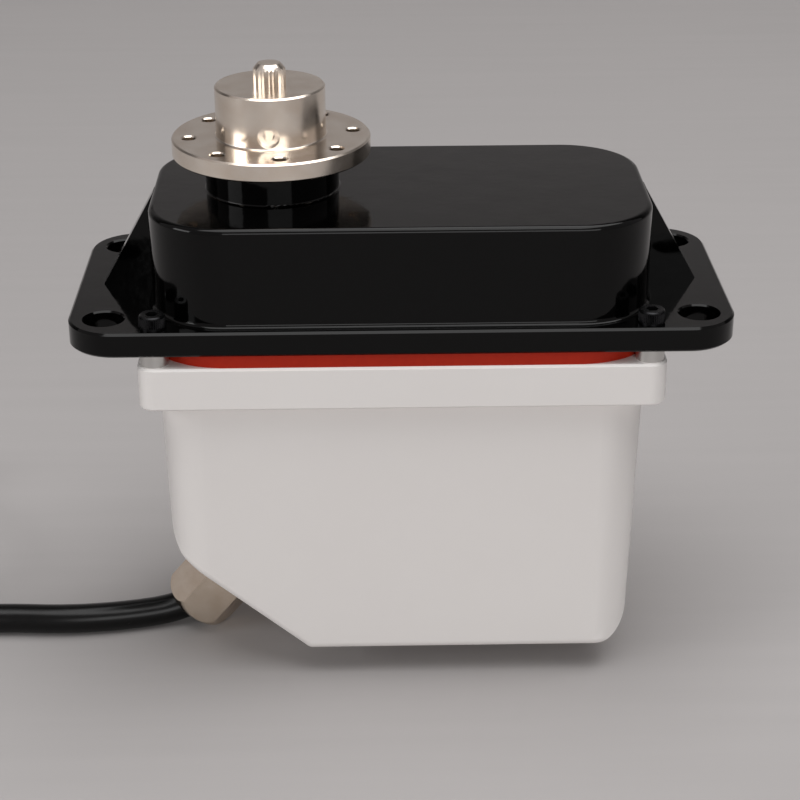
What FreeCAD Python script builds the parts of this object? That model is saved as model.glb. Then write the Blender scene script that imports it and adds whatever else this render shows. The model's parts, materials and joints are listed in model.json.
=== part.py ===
"""Giant waterproof digital servo: a robot joint actuator with a flanged gearbox and an output hub.

Frame: +Z is the output axis, up. The long side lies along X, and the flange is centred on X = Y = 0.
Z = 0 is the lowest point of the unit, which is the domed end of the cable gland.
The unit is laid out from the inside: the gear train and the motor set the cover, the cover sets the
flange, and the flange sets the rim and the case.
"""
import FreeCAD, Part
import math
import os

os.makedirs("parts", exist_ok=True)
V = FreeCAD.Vector
UP = V(0, 0, 1)
BUILT = {}

# ================================================================ driving sizes, mm and degrees
# ---- fits shared by all pieces
FIT = 0.02
RUNNING = 0.03
SCREW_CLEARANCE = 0.1

# ---- gear train: teeth, module, face width of each stage from the motor up
PRESSURE_ANGLE = 20.0
PINION_SHIFT = 0.4
TOOTH_THINNING = 0.05
ROOT_CLEARANCE = 0.25
FLANK_POINTS = 3
STAGE_MODULE = (0.5, 0.8, 1.0, 1.25)
PINION_TEETH = (11, 10, 10, 10)
WHEEL_TEETH = (38, 30, 26, 28)
WHEEL_WIDTH = (2.5, 3.0, 4.0, 5.2)
TRAIN_DIRECTION = (62.8, -70.6, 45.0, -17.1)
WHEEL_GAP = 0.5
PLATE_GAP = 0.6
HUB_RISE = 0.1
PINION_OVERRUN = 0.3
PINION_END = 0.2
PIN_DIAMETER = (2.5, 3.0, 4.0)
PIN_SEAT = 1.5
PIN_FLOOR = 1.0
PIN_END_GAP = 0.1
GEAR_COLLAR_WALL = 1.5
GEAR_SHAFT_DIAMETER = 12.0
GEAR_SHAFT_FLATS = 10.0
GEAR_HUB_WALL = 3.5
GEAR_RIM_WIDTH = 3.5
GEAR_GROOVE = 1.0

# ---- gearbox cover and flange, one casting
OUTPUT_X = -23.35
GEAR_SIDE_GAP = 0.8
GEAR_END_GAP = 1.25
TRAIN_HEADROOM = 0.8
COVER_WALL = 2.5
COVER_CORNER = 14.1
COVER_TOP_FILLET = 1.0
COVER_FOOT_FILLET = 0.8
FLANGE_SHELF = 2.2
FLANGE_EAR = 14.65
FLANGE_CORNER = 8.8
FLANGE_THICKNESS = 4.6
FLANGE_EDGE = 0.4
MOUNT_INSET_X = 6.5
MOUNT_INSET_Y = 7.4
MOUNT_HOLE = 7.2
MOUNT_EDGE = 0.3
RIB_THICKNESS = 3.5
RIB_END_GAP = 4.65
RIB_DROP = 0.6
RIB_ROOT = 1.0
BOSS_WALL = 2.7
BOSS_FOOT_FILLET = 0.4
BOSS_EDGE = 0.3
PLATE_BOSS_DIAMETER = 5.2
PLATE_BOSS_SINK = 0.4

# ---- output: bearings, seal, shaft, hub
UPPER_BEARING_OUTER = 19.0
UPPER_BEARING_BORE = 10.0
UPPER_BEARING_WIDTH = 5.0
LOWER_BEARING_OUTER = 16.0
LOWER_BEARING_BORE = 8.0
LOWER_BEARING_WIDTH = 5.0
LOWER_BEARING_SINK = 0.2
BEARING_LIP = 1.2
BEARING_END_GAP = 0.1
RACE_WALL = 1.1
SHIELD_DEPTH = 0.3
SEAL_DIAMETER = 14.0
SEAL_HEIGHT = 2.2
SEAL_SKIN = 0.75
SEAL_RECESS = 0.2
SEAL_LIP_DROP = 0.7
SEAL_LIP = 0.5
SEAL_GROOVE = 0.3
SHAFT_SHOULDER = 1.5
SHAFT_COLLAR = 1.0
SHAFT_TAIL = 2.4
DISC_HOLE_CIRCLE = 30.0
DISC_HOLE_COUNT = 8
DISC_HOLE_TURN = 8.0
DISC_HOLE = 2.5
DISC_HOLE_CHAMFER = 0.25
DISC_MARGIN = 3.1
DISC_THICKNESS = 3.35
HUB_DIAMETER = 20.0
HUB_HEIGHT = 9.3
HUB_GAP = 0.55
HUB_FILLET = 0.4
HUB_EDGE = 0.3
SET_SCREW = 4.0
SET_SCREW_RISE = 2.3
SET_SCREW_RECESS = 1.2
SET_SCREW_SOCKET = 2.0
SET_SCREW_SOCKET_DEPTH = 1.6
SPLINE_TEETH = 25
SPLINE_DIAMETER = 5.9
SPLINE_DEPTH = 0.28
SPLINE_PROUD = 4.1
SPLINE_BEVEL = 0.45
SPLINE_CROWN = 1.2
SPLINE_TIP = 1.2
SPLINE_TIP_DROP = 0.12

# ---- mid plate
PLATE_THICKNESS = 4.0
PLATE_ENTRY = 2.9
PLATE_SIDE_GAP = 0.1
PLATE_SCREW = 2.0
PLATE_SCREW_BITE = 8.0
PLATE_SCREW_BORE = 1.6
PLATE_SCREW_HEAD = 3.8
PLATE_SCREW_HEAD_HEIGHT = 1.2
BEARING_CUP_WALL = 2.5

# ---- lower case
CASE_HEIGHT = 61.3
CASE_WALL = 2.5
CASE_CORNER = 8.0
CASE_DRAFT = 1.5
CASE_EDGE = 1.5
PLAIN_ANGLE = 12.0
CASE_END_ROUND = 8.0
CASE_LEDGE = 3.0
RIM_SETBACK = 0.1
RIM_OVERHANG = 2.15
RIM_CORNER = 3.0
RIM_HEIGHT = 8.2
RIM_EDGE = 0.4
SLOPE_ANGLE = 40.0
SLOPE_START = 18.1
SLOPE_BLEND = 12.0
SLOPE_OVERRUN = 8.0
POST_DIAMETER = 5.2
SCREW_INSET_X = 3.1
SCREW_INSET_Y = 3.2

# ---- seal between case and flange
GASKET_SETBACK_X = 1.0
GASKET_SETBACK_Y = 0.5
GASKET_POST_GAP = 0.22
GASKET_BORE_GAP = 0.1
GASKET_THICKNESS = 2.4

# ---- cover screws, M2.5 socket head
SCREW_THREAD = 2.5
SCREW_REACH = 12.0
SCREW_TIP_GAP = 0.5
SCREW_HEAD = 4.5
SCREW_HEAD_HEIGHT = 2.5
SCREW_HEAD_EDGE = 0.2
SCREW_SOCKET = 2.0
SCREW_SOCKET_DEPTH = 1.4

# ---- motor
MOTOR_DIAMETER = 34.0
MOTOR_LENGTH = 46.0
MOTOR_GAP = 0.9
MOTOR_CAN_WALL = 1.4
MOTOR_CAN_EDGE = 1.0
MOTOR_PILOT = 12.0
MOTOR_PILOT_HEIGHT = 2.0
MOTOR_SHAFT = 3.175
MOTOR_BUSH = 7.0
MOTOR_BUSH_LENGTH = 5.4
MOTOR_BUSH_COVER = 0.4
MOTOR_SHAFT_GAP = 0.5
MOTOR_SCREW = 3.0
MOTOR_SCREW_INSET = 4.5
MOTOR_SCREW_TURN = 20.0
MOTOR_SCREW_SINK = 1.65
MOTOR_SCREW_HEAD = 6.3
MOTOR_SCREW_BITE = 1.3
MOTOR_SCREW_SOCKET = 2.0
MOTOR_SCREW_SOCKET_DEPTH = 1.2
END_CAP_INSET = 0.6
END_CAP_LENGTH = 5.0
END_CAP_FLOOR = 2.0
END_CAP_WALL = 3.0
END_CAP_HUB_WALL = 2.5
END_CAP_HUB_LENGTH = 6.6
END_CAP_HUB_PROUD = 3.0
END_CAP_HUB_FLOOR = 1.0
SHAFT_END_GAP = 0.2
ROTOR_AIR_GAP = 1.0
ROTOR_DROP = 9.0
ROTOR_TAIL = 15.0
ROTOR_POLES = 5
ROTOR_SLOT = 2.0
ROTOR_POCKET_WIDTH = 6.4
ROTOR_POCKET_BOTTOM = 5.0
ROTOR_POLE_CAP = 2.2
WINDING_GAP = 0.3
WINDING_SEAT = 0.8
WINDING_OVERHANG = 2.6
COMMUTATOR_DIAMETER = 8.0
COMMUTATOR_LENGTH = 6.0
COMMUTATOR_DROP = 3.4
COMMUTATOR_SLOT = 0.5
COMMUTATOR_SLOT_DEPTH = 0.8
MAGNET_THICKNESS = 2.6
MAGNET_OVERHANG = 3.0
MAGNET_INSET = 5.0
BRUSH_WIDTH = 3.0
BRUSH_HEIGHT = 4.0
BRUSH_RISE = 1.0
BRUSH_END_GAP = 0.5
TERMINAL_WIDTH = 4.4
TERMINAL_THICKNESS = 0.8
TERMINAL_INSET = 6.5
TERMINAL_PROUD = 5.0
TERMINAL_GAP = 0.05

# ---- position sensor under the output shaft
SENSOR_MAGNET = 5.0
SENSOR_MAGNET_DEPTH = 2.0
SENSOR_GAP = 1.2
SENSOR_BOARD_WIDTH = 11.0
SENSOR_BOARD_LENGTH = 30.0
SENSOR_BOARD_THICKNESS = 1.2
SENSOR_SCREW_PITCH = 25.0
SENSOR_POST = 4.4
SENSOR_CHIP_LENGTH = 5.0
SENSOR_CHIP_WIDTH = 4.0
SENSOR_CHIP_HEIGHT = 1.0
SENSOR_SOCKET_LENGTH = 7.0
SENSOR_SOCKET_WIDTH = 4.0
SENSOR_SOCKET_HEIGHT = 3.0
SENSOR_SOCKET_OFFSET = 7.0
SENSOR_SCREW_BITE = 5.0
SENSOR_BORE_OVER = 2.0

# ---- control board, standing in two rails across the case
BOARD_THICKNESS = 1.6
BOARD_MOTOR_GAP = 7.5
BOARD_SIDE_GAP = 3.5
BOARD_FLOOR_GAP = 3.0
BOARD_HEAD_GAP = 13.8
RAIL_DEPTH = 1.6
RAIL_CLEARANCE = 0.1
DRIVER_CHIP_COUNT = 4
DRIVER_CHIP_WIDTH = 5.0
DRIVER_CHIP_HEIGHT = 6.0
DRIVER_CHIP_THICKNESS = 1.4
DRIVER_CHIP_PITCH = 6.6
DRIVER_CHIP_DROP = 3.0
CONTROLLER_CHIP = 7.0
CONTROLLER_THICKNESS = 1.0
CONTROLLER_RISE = 16.0
CAPACITOR_DIAMETER = 8.0
CAPACITOR_LENGTH = 11.0
CAPACITOR_RISE = 8.0
CAPACITOR_Y = 8.5
POWER_SOCKET_WIDTH = 9.0
POWER_SOCKET_HEIGHT = 6.0
POWER_SOCKET_DEPTH = 5.0
POWER_SOCKET_RISE = 3.0
POWER_SOCKET_Y = -7.5
SIGNAL_SOCKET_WIDTH = 7.0
SIGNAL_SOCKET_HEIGHT = 4.0
SIGNAL_SOCKET_DEPTH = 4.0
SIGNAL_SOCKET_GAP = 4.0
SIGNAL_SOCKET_Y = -8.5
CORE_DIAMETER = 1.5
CORE_PITCH_AT_GLAND = 1.7
CORE_PITCH_AT_SOCKET = 2.6
CORE_RUN = 4.0
CORE_SOCKET_RUN = 5.0
LEAD_DIAMETER = 1.6
LEAD_RUN = 8.0
LEAD_RISE = 4.0
LEAD_ON_BLADE = 1.5
SENSOR_LEAD_DIAMETER = 1.8
SENSOR_LEAD_DROP = 6.0
SENSOR_LEAD_RUN = 7.0

# ---- cable gland and cable
GLAND_ALONG_SLOPE = 17.0
GLAND_FLATS = 13.0
GLAND_THREAD = 11.0
GLAND_REACH = 17.0
GLAND_BODY_HEIGHT = 5.6
GLAND_CORNER_BEVEL = 0.45
GLAND_WASHER = 0.8
GLAND_WASHER_INSET = 0.3
GLAND_SPLIT = 0.4
GLAND_DOME = 4.4
GLAND_TIP = 11.3
GLAND_CROWN_INSET = 0.26
GLAND_CROWN_DROP = 1.85
GLAND_MOUTH = 9.2
GLAND_MOUTH_DEPTH = 1.5
GLAND_NUT_WALL = 1.65
GLAND_NECK = 4.5
GLAND_NECK_GAP = 0.3
GLAND_TAIL = 4.5
GLAND_PAD = 3.0
INSERT_WALL = 1.1
INSERT_REACH = 4.4
INSERT_SEAT = 1.4
CABLE_DIAMETER = 5.8
CABLE_BORE_GAP = 0.1
CABLE_ENTRY = 7.0
CABLE_NUT_RUN = 1.0
CABLE_BEND_BACK = 2.6
CABLE_LIFT = 0.1
CABLE_DESCENT = 25.0
CABLE_LANDING_Y = -0.9
CABLE_DRIFT = (0.4, -0.5, 0.4, 0.0)
COIL_CENTRE = (-121.0, 25.0)
COIL_RADIUS = 29.0
COIL_SLACK = 0.3
COIL_BEVEL = 1.6
COIL_LEAD = 20.0
COIL_UPPER_START = 15.0
COIL_UPPER_END = 12.0
COIL_OUT_LEAD = 8.5
CONNECTOR_WIDTH = 11.6
CONNECTOR_LENGTH = 19.0
CONNECTOR_HEIGHT = 6.4
CONNECTOR_EDGE = 0.5
CONNECTOR_PITCH = 3.4
CONNECTOR_PORT = 2.2
CONNECTOR_PORT_DEPTH = 7.0
OVERCUT = 1.0

# ================================================================ plan layout, from the gears outwards
slope = math.radians(SLOPE_ANGLE)
draft = math.radians(CASE_DRAFT)
DOWN_SLOPE = V(-math.cos(slope), 0, math.sin(slope))
GLAND_AXIS = V(-math.sin(slope), 0, -math.cos(slope))


def stage_distance(stage):
    return STAGE_MODULE[stage] * (PINION_TEETH[stage] + WHEEL_TEETH[stage]) / 2


def wheel_tip(stage):
    return STAGE_MODULE[stage] * (WHEEL_TEETH[stage] / 2 + 1 - PINION_SHIFT)


def step(point, distance, degrees):
    angle = math.radians(degrees)
    return (point[0] + distance * math.cos(angle), point[1] + distance * math.sin(angle))


OUTPUT_AXIS = (OUTPUT_X, 0.0)
AXIS_3 = step(OUTPUT_AXIS, stage_distance(3), TRAIN_DIRECTION[3])
AXIS_2 = step(AXIS_3, stage_distance(2), TRAIN_DIRECTION[2])
AXIS_1 = step(AXIS_2, stage_distance(1), TRAIN_DIRECTION[1])
MOTOR_AXIS = step(AXIS_1, stage_distance(0), TRAIN_DIRECTION[0])
AXES = (AXIS_1, AXIS_2, AXIS_3, OUTPUT_AXIS)

# how far the case's inner wall stands outside the cover's, and how far the taper brings it in at the motor
SIDE_STACK = COVER_WALL + FLANGE_SHELF - RIM_SETBACK - CASE_LEDGE - CASE_WALL
END_STACK = COVER_WALL + RIM_OVERHANG - CASE_LEDGE - CASE_WALL
MOTOR_DEPTH = MOTOR_LENGTH + PLATE_THICKNESS - PLATE_ENTRY - GASKET_THICKNESS - RIM_HEIGHT
MOTOR_ROOM = MOTOR_DIAMETER / 2 + MOTOR_GAP + MOTOR_DEPTH * math.tan(draft)
gear_sides = [abs(AXES[k][1]) + wheel_tip(k) + GEAR_SIDE_GAP for k in range(len(AXES))]
gear_ends = [abs(AXES[k][0]) + wheel_tip(k) + GEAR_END_GAP for k in range(len(AXES))]
CAVITY_WIDTH = 2 * max(gear_sides + [abs(MOTOR_AXIS[1]) + MOTOR_ROOM - SIDE_STACK])
CAVITY_LENGTH = 2 * max(gear_ends + [abs(MOTOR_AXIS[0]) + MOTOR_ROOM - END_STACK])
CAVITY_CORNER = COVER_CORNER - COVER_WALL
COVER_WIDTH = CAVITY_WIDTH + 2 * COVER_WALL
COVER_LENGTH = CAVITY_LENGTH + 2 * COVER_WALL
FLANGE_WIDTH = COVER_WIDTH + 2 * FLANGE_SHELF
FLANGE_LENGTH = COVER_LENGTH + 2 * FLANGE_EAR
RIB_REACH = FLANGE_EAR - RIB_END_GAP
MOUNT_PITCH_X = FLANGE_LENGTH - 2 * MOUNT_INSET_X
MOUNT_PITCH_Y = FLANGE_WIDTH - 2 * MOUNT_INSET_Y
RIM_WIDTH = FLANGE_WIDTH - 2 * RIM_SETBACK
RIM_LENGTH = COVER_LENGTH + 2 * RIM_OVERHANG
CASE_WIDTH = RIM_WIDTH - 2 * CASE_LEDGE
CASE_LENGTH = RIM_LENGTH - 2 * CASE_LEDGE
GASKET_LENGTH = RIM_LENGTH - 2 * GASKET_SETBACK_X
GASKET_WIDTH = RIM_WIDTH - 2 * GASKET_SETBACK_Y
SCREW_PITCH_X = RIM_LENGTH - 2 * SCREW_INSET_X
SCREW_PITCH_Y = RIM_WIDTH - 2 * SCREW_INSET_Y
BOSS_DIAMETER = UPPER_BEARING_OUTER + 2 * BOSS_WALL
DISC_DIAMETER = DISC_HOLE_CIRCLE + 2 * DISC_MARGIN
MOTOR_SCREW_PITCH = MOTOR_DIAMETER - 2 * MOTOR_SCREW_INSET
ROTOR_DIAMETER = MOTOR_DIAMETER - 2 * MOTOR_CAN_WALL - 2 * MAGNET_THICKNESS - 2 * ROTOR_AIR_GAP
ROTOR_LENGTH = MOTOR_LENGTH - ROTOR_DROP - ROTOR_TAIL
ROTOR_POCKET_TOP = ROTOR_DIAMETER / 2 - ROTOR_POLE_CAP
MAGNET_LENGTH = ROTOR_LENGTH + 2 * MAGNET_OVERHANG
MAGNET_WIDTH = MOTOR_DIAMETER - 2 * MAGNET_INSET
TERMINAL_SPAN = MOTOR_DIAMETER - 2 * TERMINAL_INSET
BOARD_X = MOTOR_AXIS[0] - MOTOR_DIAMETER / 2 - BOARD_MOTOR_GAP
BOARD_WIDTH = CASE_WIDTH - 2 * CASE_WALL - 2 * BOARD_SIDE_GAP
BOARD_HEIGHT = CASE_HEIGHT - CASE_WALL - BOARD_FLOOR_GAP - BOARD_HEAD_GAP
DRIVER_CHIP_RISE = BOARD_HEIGHT - DRIVER_CHIP_DROP - DRIVER_CHIP_HEIGHT
SIGNAL_SOCKET_RISE = DRIVER_CHIP_RISE - SIGNAL_SOCKET_GAP - SIGNAL_SOCKET_HEIGHT
NUT_FOOT = GLAND_WASHER + GLAND_BODY_HEIGHT + GLAND_SPLIT
CABLE_START = NUT_FOOT + CABLE_NUT_RUN
CABLE_BORE = CABLE_DIAMETER + 2 * CABLE_BORE_GAP


# ================================================================ shape helpers
def cylinder(diameter, z0, z1, x=0.0, y=0.0):
    return Part.makeCylinder(diameter / 2, z1 - z0, V(x, y, z0), UP)


def ring(outer, inner, z0, z1, x=0.0, y=0.0):
    return cylinder(outer, z0, z1, x, y).cut(cylinder(inner, z0 - OVERCUT, z1 + OVERCUT, x, y))


def block(x0, x1, y0, y1, z0, z1):
    return Part.makeBox(x1 - x0, y1 - y0, z1 - z0, V(x0, y0, z0))


def slab(centre_x, centre_y, length, width, z0, z1):
    """Upright box centred on a point of the plan."""
    return block(centre_x - length / 2, centre_x + length / 2,
                 centre_y - width / 2, centre_y + width / 2, z0, z1)


def fuse(shapes):
    result = shapes[0].multiFuse(shapes[1:]) if len(shapes) > 1 else shapes[0]
    return result.removeSplitter()


def corners(pitch_x, pitch_y):
    """The four corner places of a rectangle about the centre of the flange."""
    return [(i * pitch_x / 2, j * pitch_y / 2) for i in (-1, 1) for j in (-1, 1)]


def drill(shape, diameter, z0, z1, places):
    """Cuts a straight hole of one diameter at each place."""
    for x, y in places:
        shape = shape.cut(cylinder(diameter, z0, z1, x, y))
    return shape


def group(shapes):
    return Part.makeCompound(list(shapes))


def turned_about(shape, axis, degrees):
    """Shape drawn about the origin, turned about Z and moved to an axis."""
    result = shape.copy()
    result.rotate(V(0, 0, 0), UP, degrees)
    result.translate(V(axis[0], axis[1], 0))
    return result


def rounded_wire(length, width, radius, z):
    """Rectangle with round corners, at height z."""
    bow = radius * (1 - math.sqrt(0.5))
    a, b = length / 2, width / 2
    edges = []
    for sx, sy in ((1, 1), (-1, 1), (-1, -1), (1, -1)):
        start = V(sx * a, sy * (b - radius), z)
        middle = V(sx * (a - bow), sy * (b - bow), z)
        end = V(sx * (a - radius), sy * b, z)
        if sx * sy < 0:
            start, end = end, start
        edges.append(Part.Arc(start, middle, end).toShape())
    sides = []
    for arc, following in zip(edges, edges[1:] + edges[:1]):
        sides.append(Part.makeLine(arc.Vertexes[-1].Point, following.Vertexes[0].Point))
    return Part.Wire(Part.sortEdges(edges + sides)[0])


def rounded_prism(length, width, radius, z0, z1):
    return Part.Face(rounded_wire(length, width, radius, z0)).extrude(V(0, 0, z1 - z0))


def edges_at(shape, test):
    """Edges whose both ends and middle satisfy the test on a point."""
    chosen = []
    for edge in shape.Edges:
        ends = [v.Point for v in edge.Vertexes]
        middle = edge.valueAt((edge.FirstParameter + edge.LastParameter) / 2)
        if all(test(p) for p in ends + [middle]):
            chosen.append(edge)
    return chosen


def level(z):
    return lambda p: abs(p.z - z) < 1e-4


def circles_at(shape, z, diameter):
    """Circular edges of one diameter lying at height z."""
    chosen = []
    for edge in shape.Edges:
        if hasattr(edge.Curve, "Radius") and level(z)(edge.Vertexes[0].Point):
            if abs(edge.Curve.Radius - diameter / 2) < 1e-4 and abs(edge.Curve.Axis.z) > 0.99:
                chosen.append(edge)
    return chosen


def sharp_edges(shape, below):
    """Edges under a level where the two faces meet at a plain angle."""
    chosen = []
    for edge in shape.Edges:
        middle = edge.valueAt((edge.FirstParameter + edge.LastParameter) / 2)
        normals = []
        for face in shape.ancestorsOfType(edge, Part.Face)[:2]:
            u, v = face.Surface.parameter(middle)
            normals.append(face.normalAt(u, v))
        if len(normals) == 2 and edge.BoundBox.ZMax < below:
            if math.degrees(normals[0].getAngle(normals[1])) > PLAIN_ANGLE:
                chosen.append(edge)
    return chosen


def revolve_profile(points, x=0.0, y=0.0, z=0.0):
    """Solid of revolution about Z from (radius, height) points."""
    wire = Part.makePolygon([V(r, 0, h) for r, h in points + points[:1]])
    solid = Part.Face(wire).revolve(V(0, 0, 0), UP, 360)
    solid.translate(V(x, y, z))
    return solid


def hexagon(flats, z0, z1):
    radius = flats / 2 / math.cos(math.pi / 6)
    points = [V(radius * math.cos(math.pi * k / 3), radius * math.sin(math.pi * k / 3), z0) for k in range(7)]
    return Part.Face(Part.makePolygon(points)).extrude(V(0, 0, z1 - z0))


def placed(shape, placement):
    result = shape.copy()
    result.Placement = placement.multiply(shape.Placement)
    return result


def save(name, shape):
    solids = shape.Solids
    result = solids[0] if len(solids) == 1 else Part.makeCompound(solids)
    assert solids and result.isValid(), name
    result.exportStep("parts/" + name + ".step")
    BUILT[name] = result
    print(f"{name:24s} solids {len(solids)} volume {result.Volume:10.1f}")


# ================================================================ levels, from the lowest point upwards
# The gland has a frame of its own: Z points away from the sloped wall, with Z = 0 on the wall's outer face.
def gland_place(case_bottom):
    foot = V(-SLOPE_START, 0, case_bottom) + DOWN_SLOPE * GLAND_ALONG_SLOPE
    turn = FreeCAD.Rotation(DOWN_SLOPE, V(0, -1, 0), GLAND_AXIS, "ZXY")
    return FreeCAD.Placement(foot, turn)


def gland_nut_form():
    """Hexagon bar with a domed end."""
    corner = GLAND_FLATS / 2 / math.cos(math.pi / 6)
    shoulder = V(corner, 0, GLAND_REACH - GLAND_DOME)
    crown = V(corner - GLAND_CROWN_INSET, 0, GLAND_REACH - GLAND_CROWN_DROP)
    tip = V(GLAND_TIP / 2, 0, GLAND_REACH)
    edges = [Part.makeLine(V(0, 0, NUT_FOOT), V(corner, 0, NUT_FOOT)),
             Part.makeLine(V(corner, 0, NUT_FOOT), shoulder),
             Part.Arc(shoulder, crown, tip).toShape(),
             Part.makeLine(tip, V(0, 0, GLAND_REACH)),
             Part.makeLine(V(0, 0, GLAND_REACH), V(0, 0, NUT_FOOT))]
    dome = Part.Face(Part.Wire(edges)).revolve(V(0, 0, 0), UP, 360)
    return hexagon(GLAND_FLATS, NUT_FOOT, GLAND_REACH).common(dome)


low_point = placed(gland_nut_form(), gland_place(0.0)).optimalBoundingBox(False).ZMin
CASE_Z = -low_point
RIM_TOP = CASE_Z + CASE_HEIGHT
RIM_Z = RIM_TOP - RIM_HEIGHT
FLANGE_Z = RIM_TOP + GASKET_THICKNESS
FLANGE_TOP = FLANGE_Z + FLANGE_THICKNESS
PLATE_TOP = FLANGE_Z + PLATE_ENTRY
PLATE_Z = PLATE_TOP - PLATE_THICKNESS
WHEEL_Z = [PLATE_TOP + PLATE_GAP]
for face_width in WHEEL_WIDTH[:-1]:
    WHEEL_Z.append(WHEEL_Z[-1] + face_width + WHEEL_GAP)
CEILING = WHEEL_Z[-1] + WHEEL_WIDTH[-1] + TRAIN_HEADROOM
COVER_TOP = CEILING + COVER_WALL
UPPER_BEARING_Z = CEILING + BEARING_LIP
SEAL_Z = UPPER_BEARING_Z + UPPER_BEARING_WIDTH + BEARING_END_GAP
BOSS_TOP = SEAL_Z + SEAL_HEIGHT
DISC_Z = BOSS_TOP + HUB_GAP
DISC_TOP = DISC_Z + DISC_THICKNESS
HUB_TOP = DISC_Z + DISC_THICKNESS + HUB_HEIGHT
SHAFT_TOP = HUB_TOP + SPLINE_PROUD
LOWER_BEARING_Z = PLATE_TOP - LOWER_BEARING_SINK - LOWER_BEARING_WIDTH
SHAFT_FOOT = LOWER_BEARING_Z - SHAFT_TAIL
SENSOR_BOARD_TOP = SHAFT_FOOT - SENSOR_GAP - SENSOR_CHIP_HEIGHT
SENSOR_BOARD_Z = SENSOR_BOARD_TOP - SENSOR_BOARD_THICKNESS
MOTOR_FOOT = PLATE_Z - MOTOR_LENGTH
BOARD_Z = CASE_Z + CASE_WALL + BOARD_FLOOR_GAP
BOARD_LEFT = BOARD_X - BOARD_THICKNESS / 2
BOARD_RIGHT = BOARD_X + BOARD_THICKNESS / 2
print("levels:", [round(v, 3) for v in (CASE_Z, RIM_TOP, FLANGE_Z, FLANGE_TOP, COVER_TOP, BOSS_TOP,
                                        DISC_Z, HUB_TOP, SHAFT_TOP)])
print("axes:", [(round(x, 4), round(y, 4)) for x, y in (MOTOR_AXIS,) + AXES])
print("plan:", [round(v, 3) for v in (COVER_LENGTH, COVER_WIDTH, FLANGE_LENGTH, FLANGE_WIDTH, RIM_LENGTH,
                                      RIM_WIDTH, CASE_LENGTH, CASE_WIDTH, MOUNT_PITCH_X, MOUNT_PITCH_Y)])


# ================================================================ gear train
def involute(angle):
    return math.tan(angle) - angle


def gear(teeth, module, shift, z0, width, axis, phase):
    """Spur gear with involute flanks, each drawn with a few flat facets on the inner side of the curve."""
    pressure = math.radians(PRESSURE_ANGLE)
    pitch = module * teeth / 2
    base = pitch * math.cos(pressure)
    root = pitch - module * (1 + ROOT_CLEARANCE - shift)
    tip = pitch + module * (1 + shift)
    half = (math.pi / 2 + 2 * shift * math.tan(pressure)) / teeth + involute(pressure)
    half -= TOOTH_THINNING / (2 * pitch)
    start = max(base, root)
    flank = [(root, half - involute(math.acos(base / start)))] if root < start else []
    for k in range(FLANK_POINTS):
        radius = start + (tip - start) * k / (FLANK_POINTS - 1)
        flank.append((radius, half - involute(math.acos(min(1.0, base / radius)))))
    outline = [(radius, -angle) for radius, angle in flank]
    outline += reversed(flank)
    points = []
    for tooth in range(teeth):
        centre = phase + 2 * math.pi * tooth / teeth
        for radius, angle in outline:
            points.append(V(axis[0] + radius * math.cos(centre + angle),
                            axis[1] + radius * math.sin(centre + angle), z0))
    return Part.Face(Part.makePolygon(points + points[:1])).extrude(V(0, 0, width))


def meshing_phase(from_axis, from_teeth, from_phase, to_axis, to_teeth):
    """Turn of the second gear that puts a gap of it opposite a tooth of the first."""
    line = math.atan2(to_axis[1] - from_axis[1], to_axis[0] - from_axis[0])
    part_tooth = (line - from_phase) * from_teeth / (2 * math.pi)
    return line + math.pi - (0.5 - part_tooth) * 2 * math.pi / to_teeth


def pinion_top(stage):
    return WHEEL_Z[stage] + WHEEL_WIDTH[stage] + PINION_END


def build_gears():
    """Wheel and pinion of each stage; a wheel and the pinion above it are one compound gear."""
    pinion_axis = (MOTOR_AXIS,) + AXES[:3]
    phase = 0.0
    wheels, pinions = [], []
    for stage in range(len(WHEEL_TEETH)):
        module, axis = STAGE_MODULE[stage], AXES[stage]
        teeth, wheel_teeth = PINION_TEETH[stage], WHEEL_TEETH[stage]
        z0, width = WHEEL_Z[stage], WHEEL_WIDTH[stage]
        foot = z0 - PINION_OVERRUN if stage else z0 - PINION_END
        pinions.append(gear(teeth, module, PINION_SHIFT, foot, pinion_top(stage) - foot,
                            pinion_axis[stage], phase))
        turned = meshing_phase(pinion_axis[stage], teeth, phase, axis, wheel_teeth)
        wheels.append(gear(wheel_teeth, module, -PINION_SHIFT, z0, width, axis, turned))
        phase = turned
    save("motor_pinion", pinions[0].cut(cylinder(MOTOR_SHAFT + FIT, PLATE_Z, CEILING, *MOTOR_AXIS)))
    for number, pin in enumerate(PIN_DIAMETER):
        x, y = AXES[number]
        collar = pin + 2 * GEAR_COLLAR_WALL
        hub = cylinder(collar, PLATE_TOP + HUB_RISE, CEILING - HUB_RISE, x, y)
        whole = fuse([wheels[number], pinions[number + 1], hub])
        save(f"compound_gear_{number + 1}", whole.cut(cylinder(pin + 2 * RUNNING, PLATE_Z, COVER_TOP, x, y)))
        save(f"gear_pin_{number + 1}",
             cylinder(pin, PLATE_Z + PIN_FLOOR, CEILING + PIN_SEAT - PIN_END_GAP, x, y))
    x, y = OUTPUT_AXIS
    gear_z, gear_top = WHEEL_Z[3], WHEEL_Z[3] + WHEEL_WIDTH[3]
    flats = gear_seat(GEAR_SHAFT_DIAMETER + 2 * FIT, GEAR_SHAFT_FLATS + 2 * FIT,
                      gear_z - OVERCUT, gear_top + OVERCUT)
    rim = STAGE_MODULE[3] * WHEEL_TEETH[3] - 2 * GEAR_RIM_WIDTH
    groove = ring(rim, GEAR_SHAFT_DIAMETER + 2 * GEAR_HUB_WALL,
                  gear_top - GEAR_GROOVE, gear_top + OVERCUT, x, y)
    save("output_gear", wheels[3].cut(flats).cut(groove))


def gear_seat(diameter, flats, z0, z1):
    """Round bar with two flats, on the output axis."""
    return cylinder(diameter, z0, z1, *OUTPUT_AXIS).common(slab(*OUTPUT_AXIS, 2 * diameter, flats, z0, z1))


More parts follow.
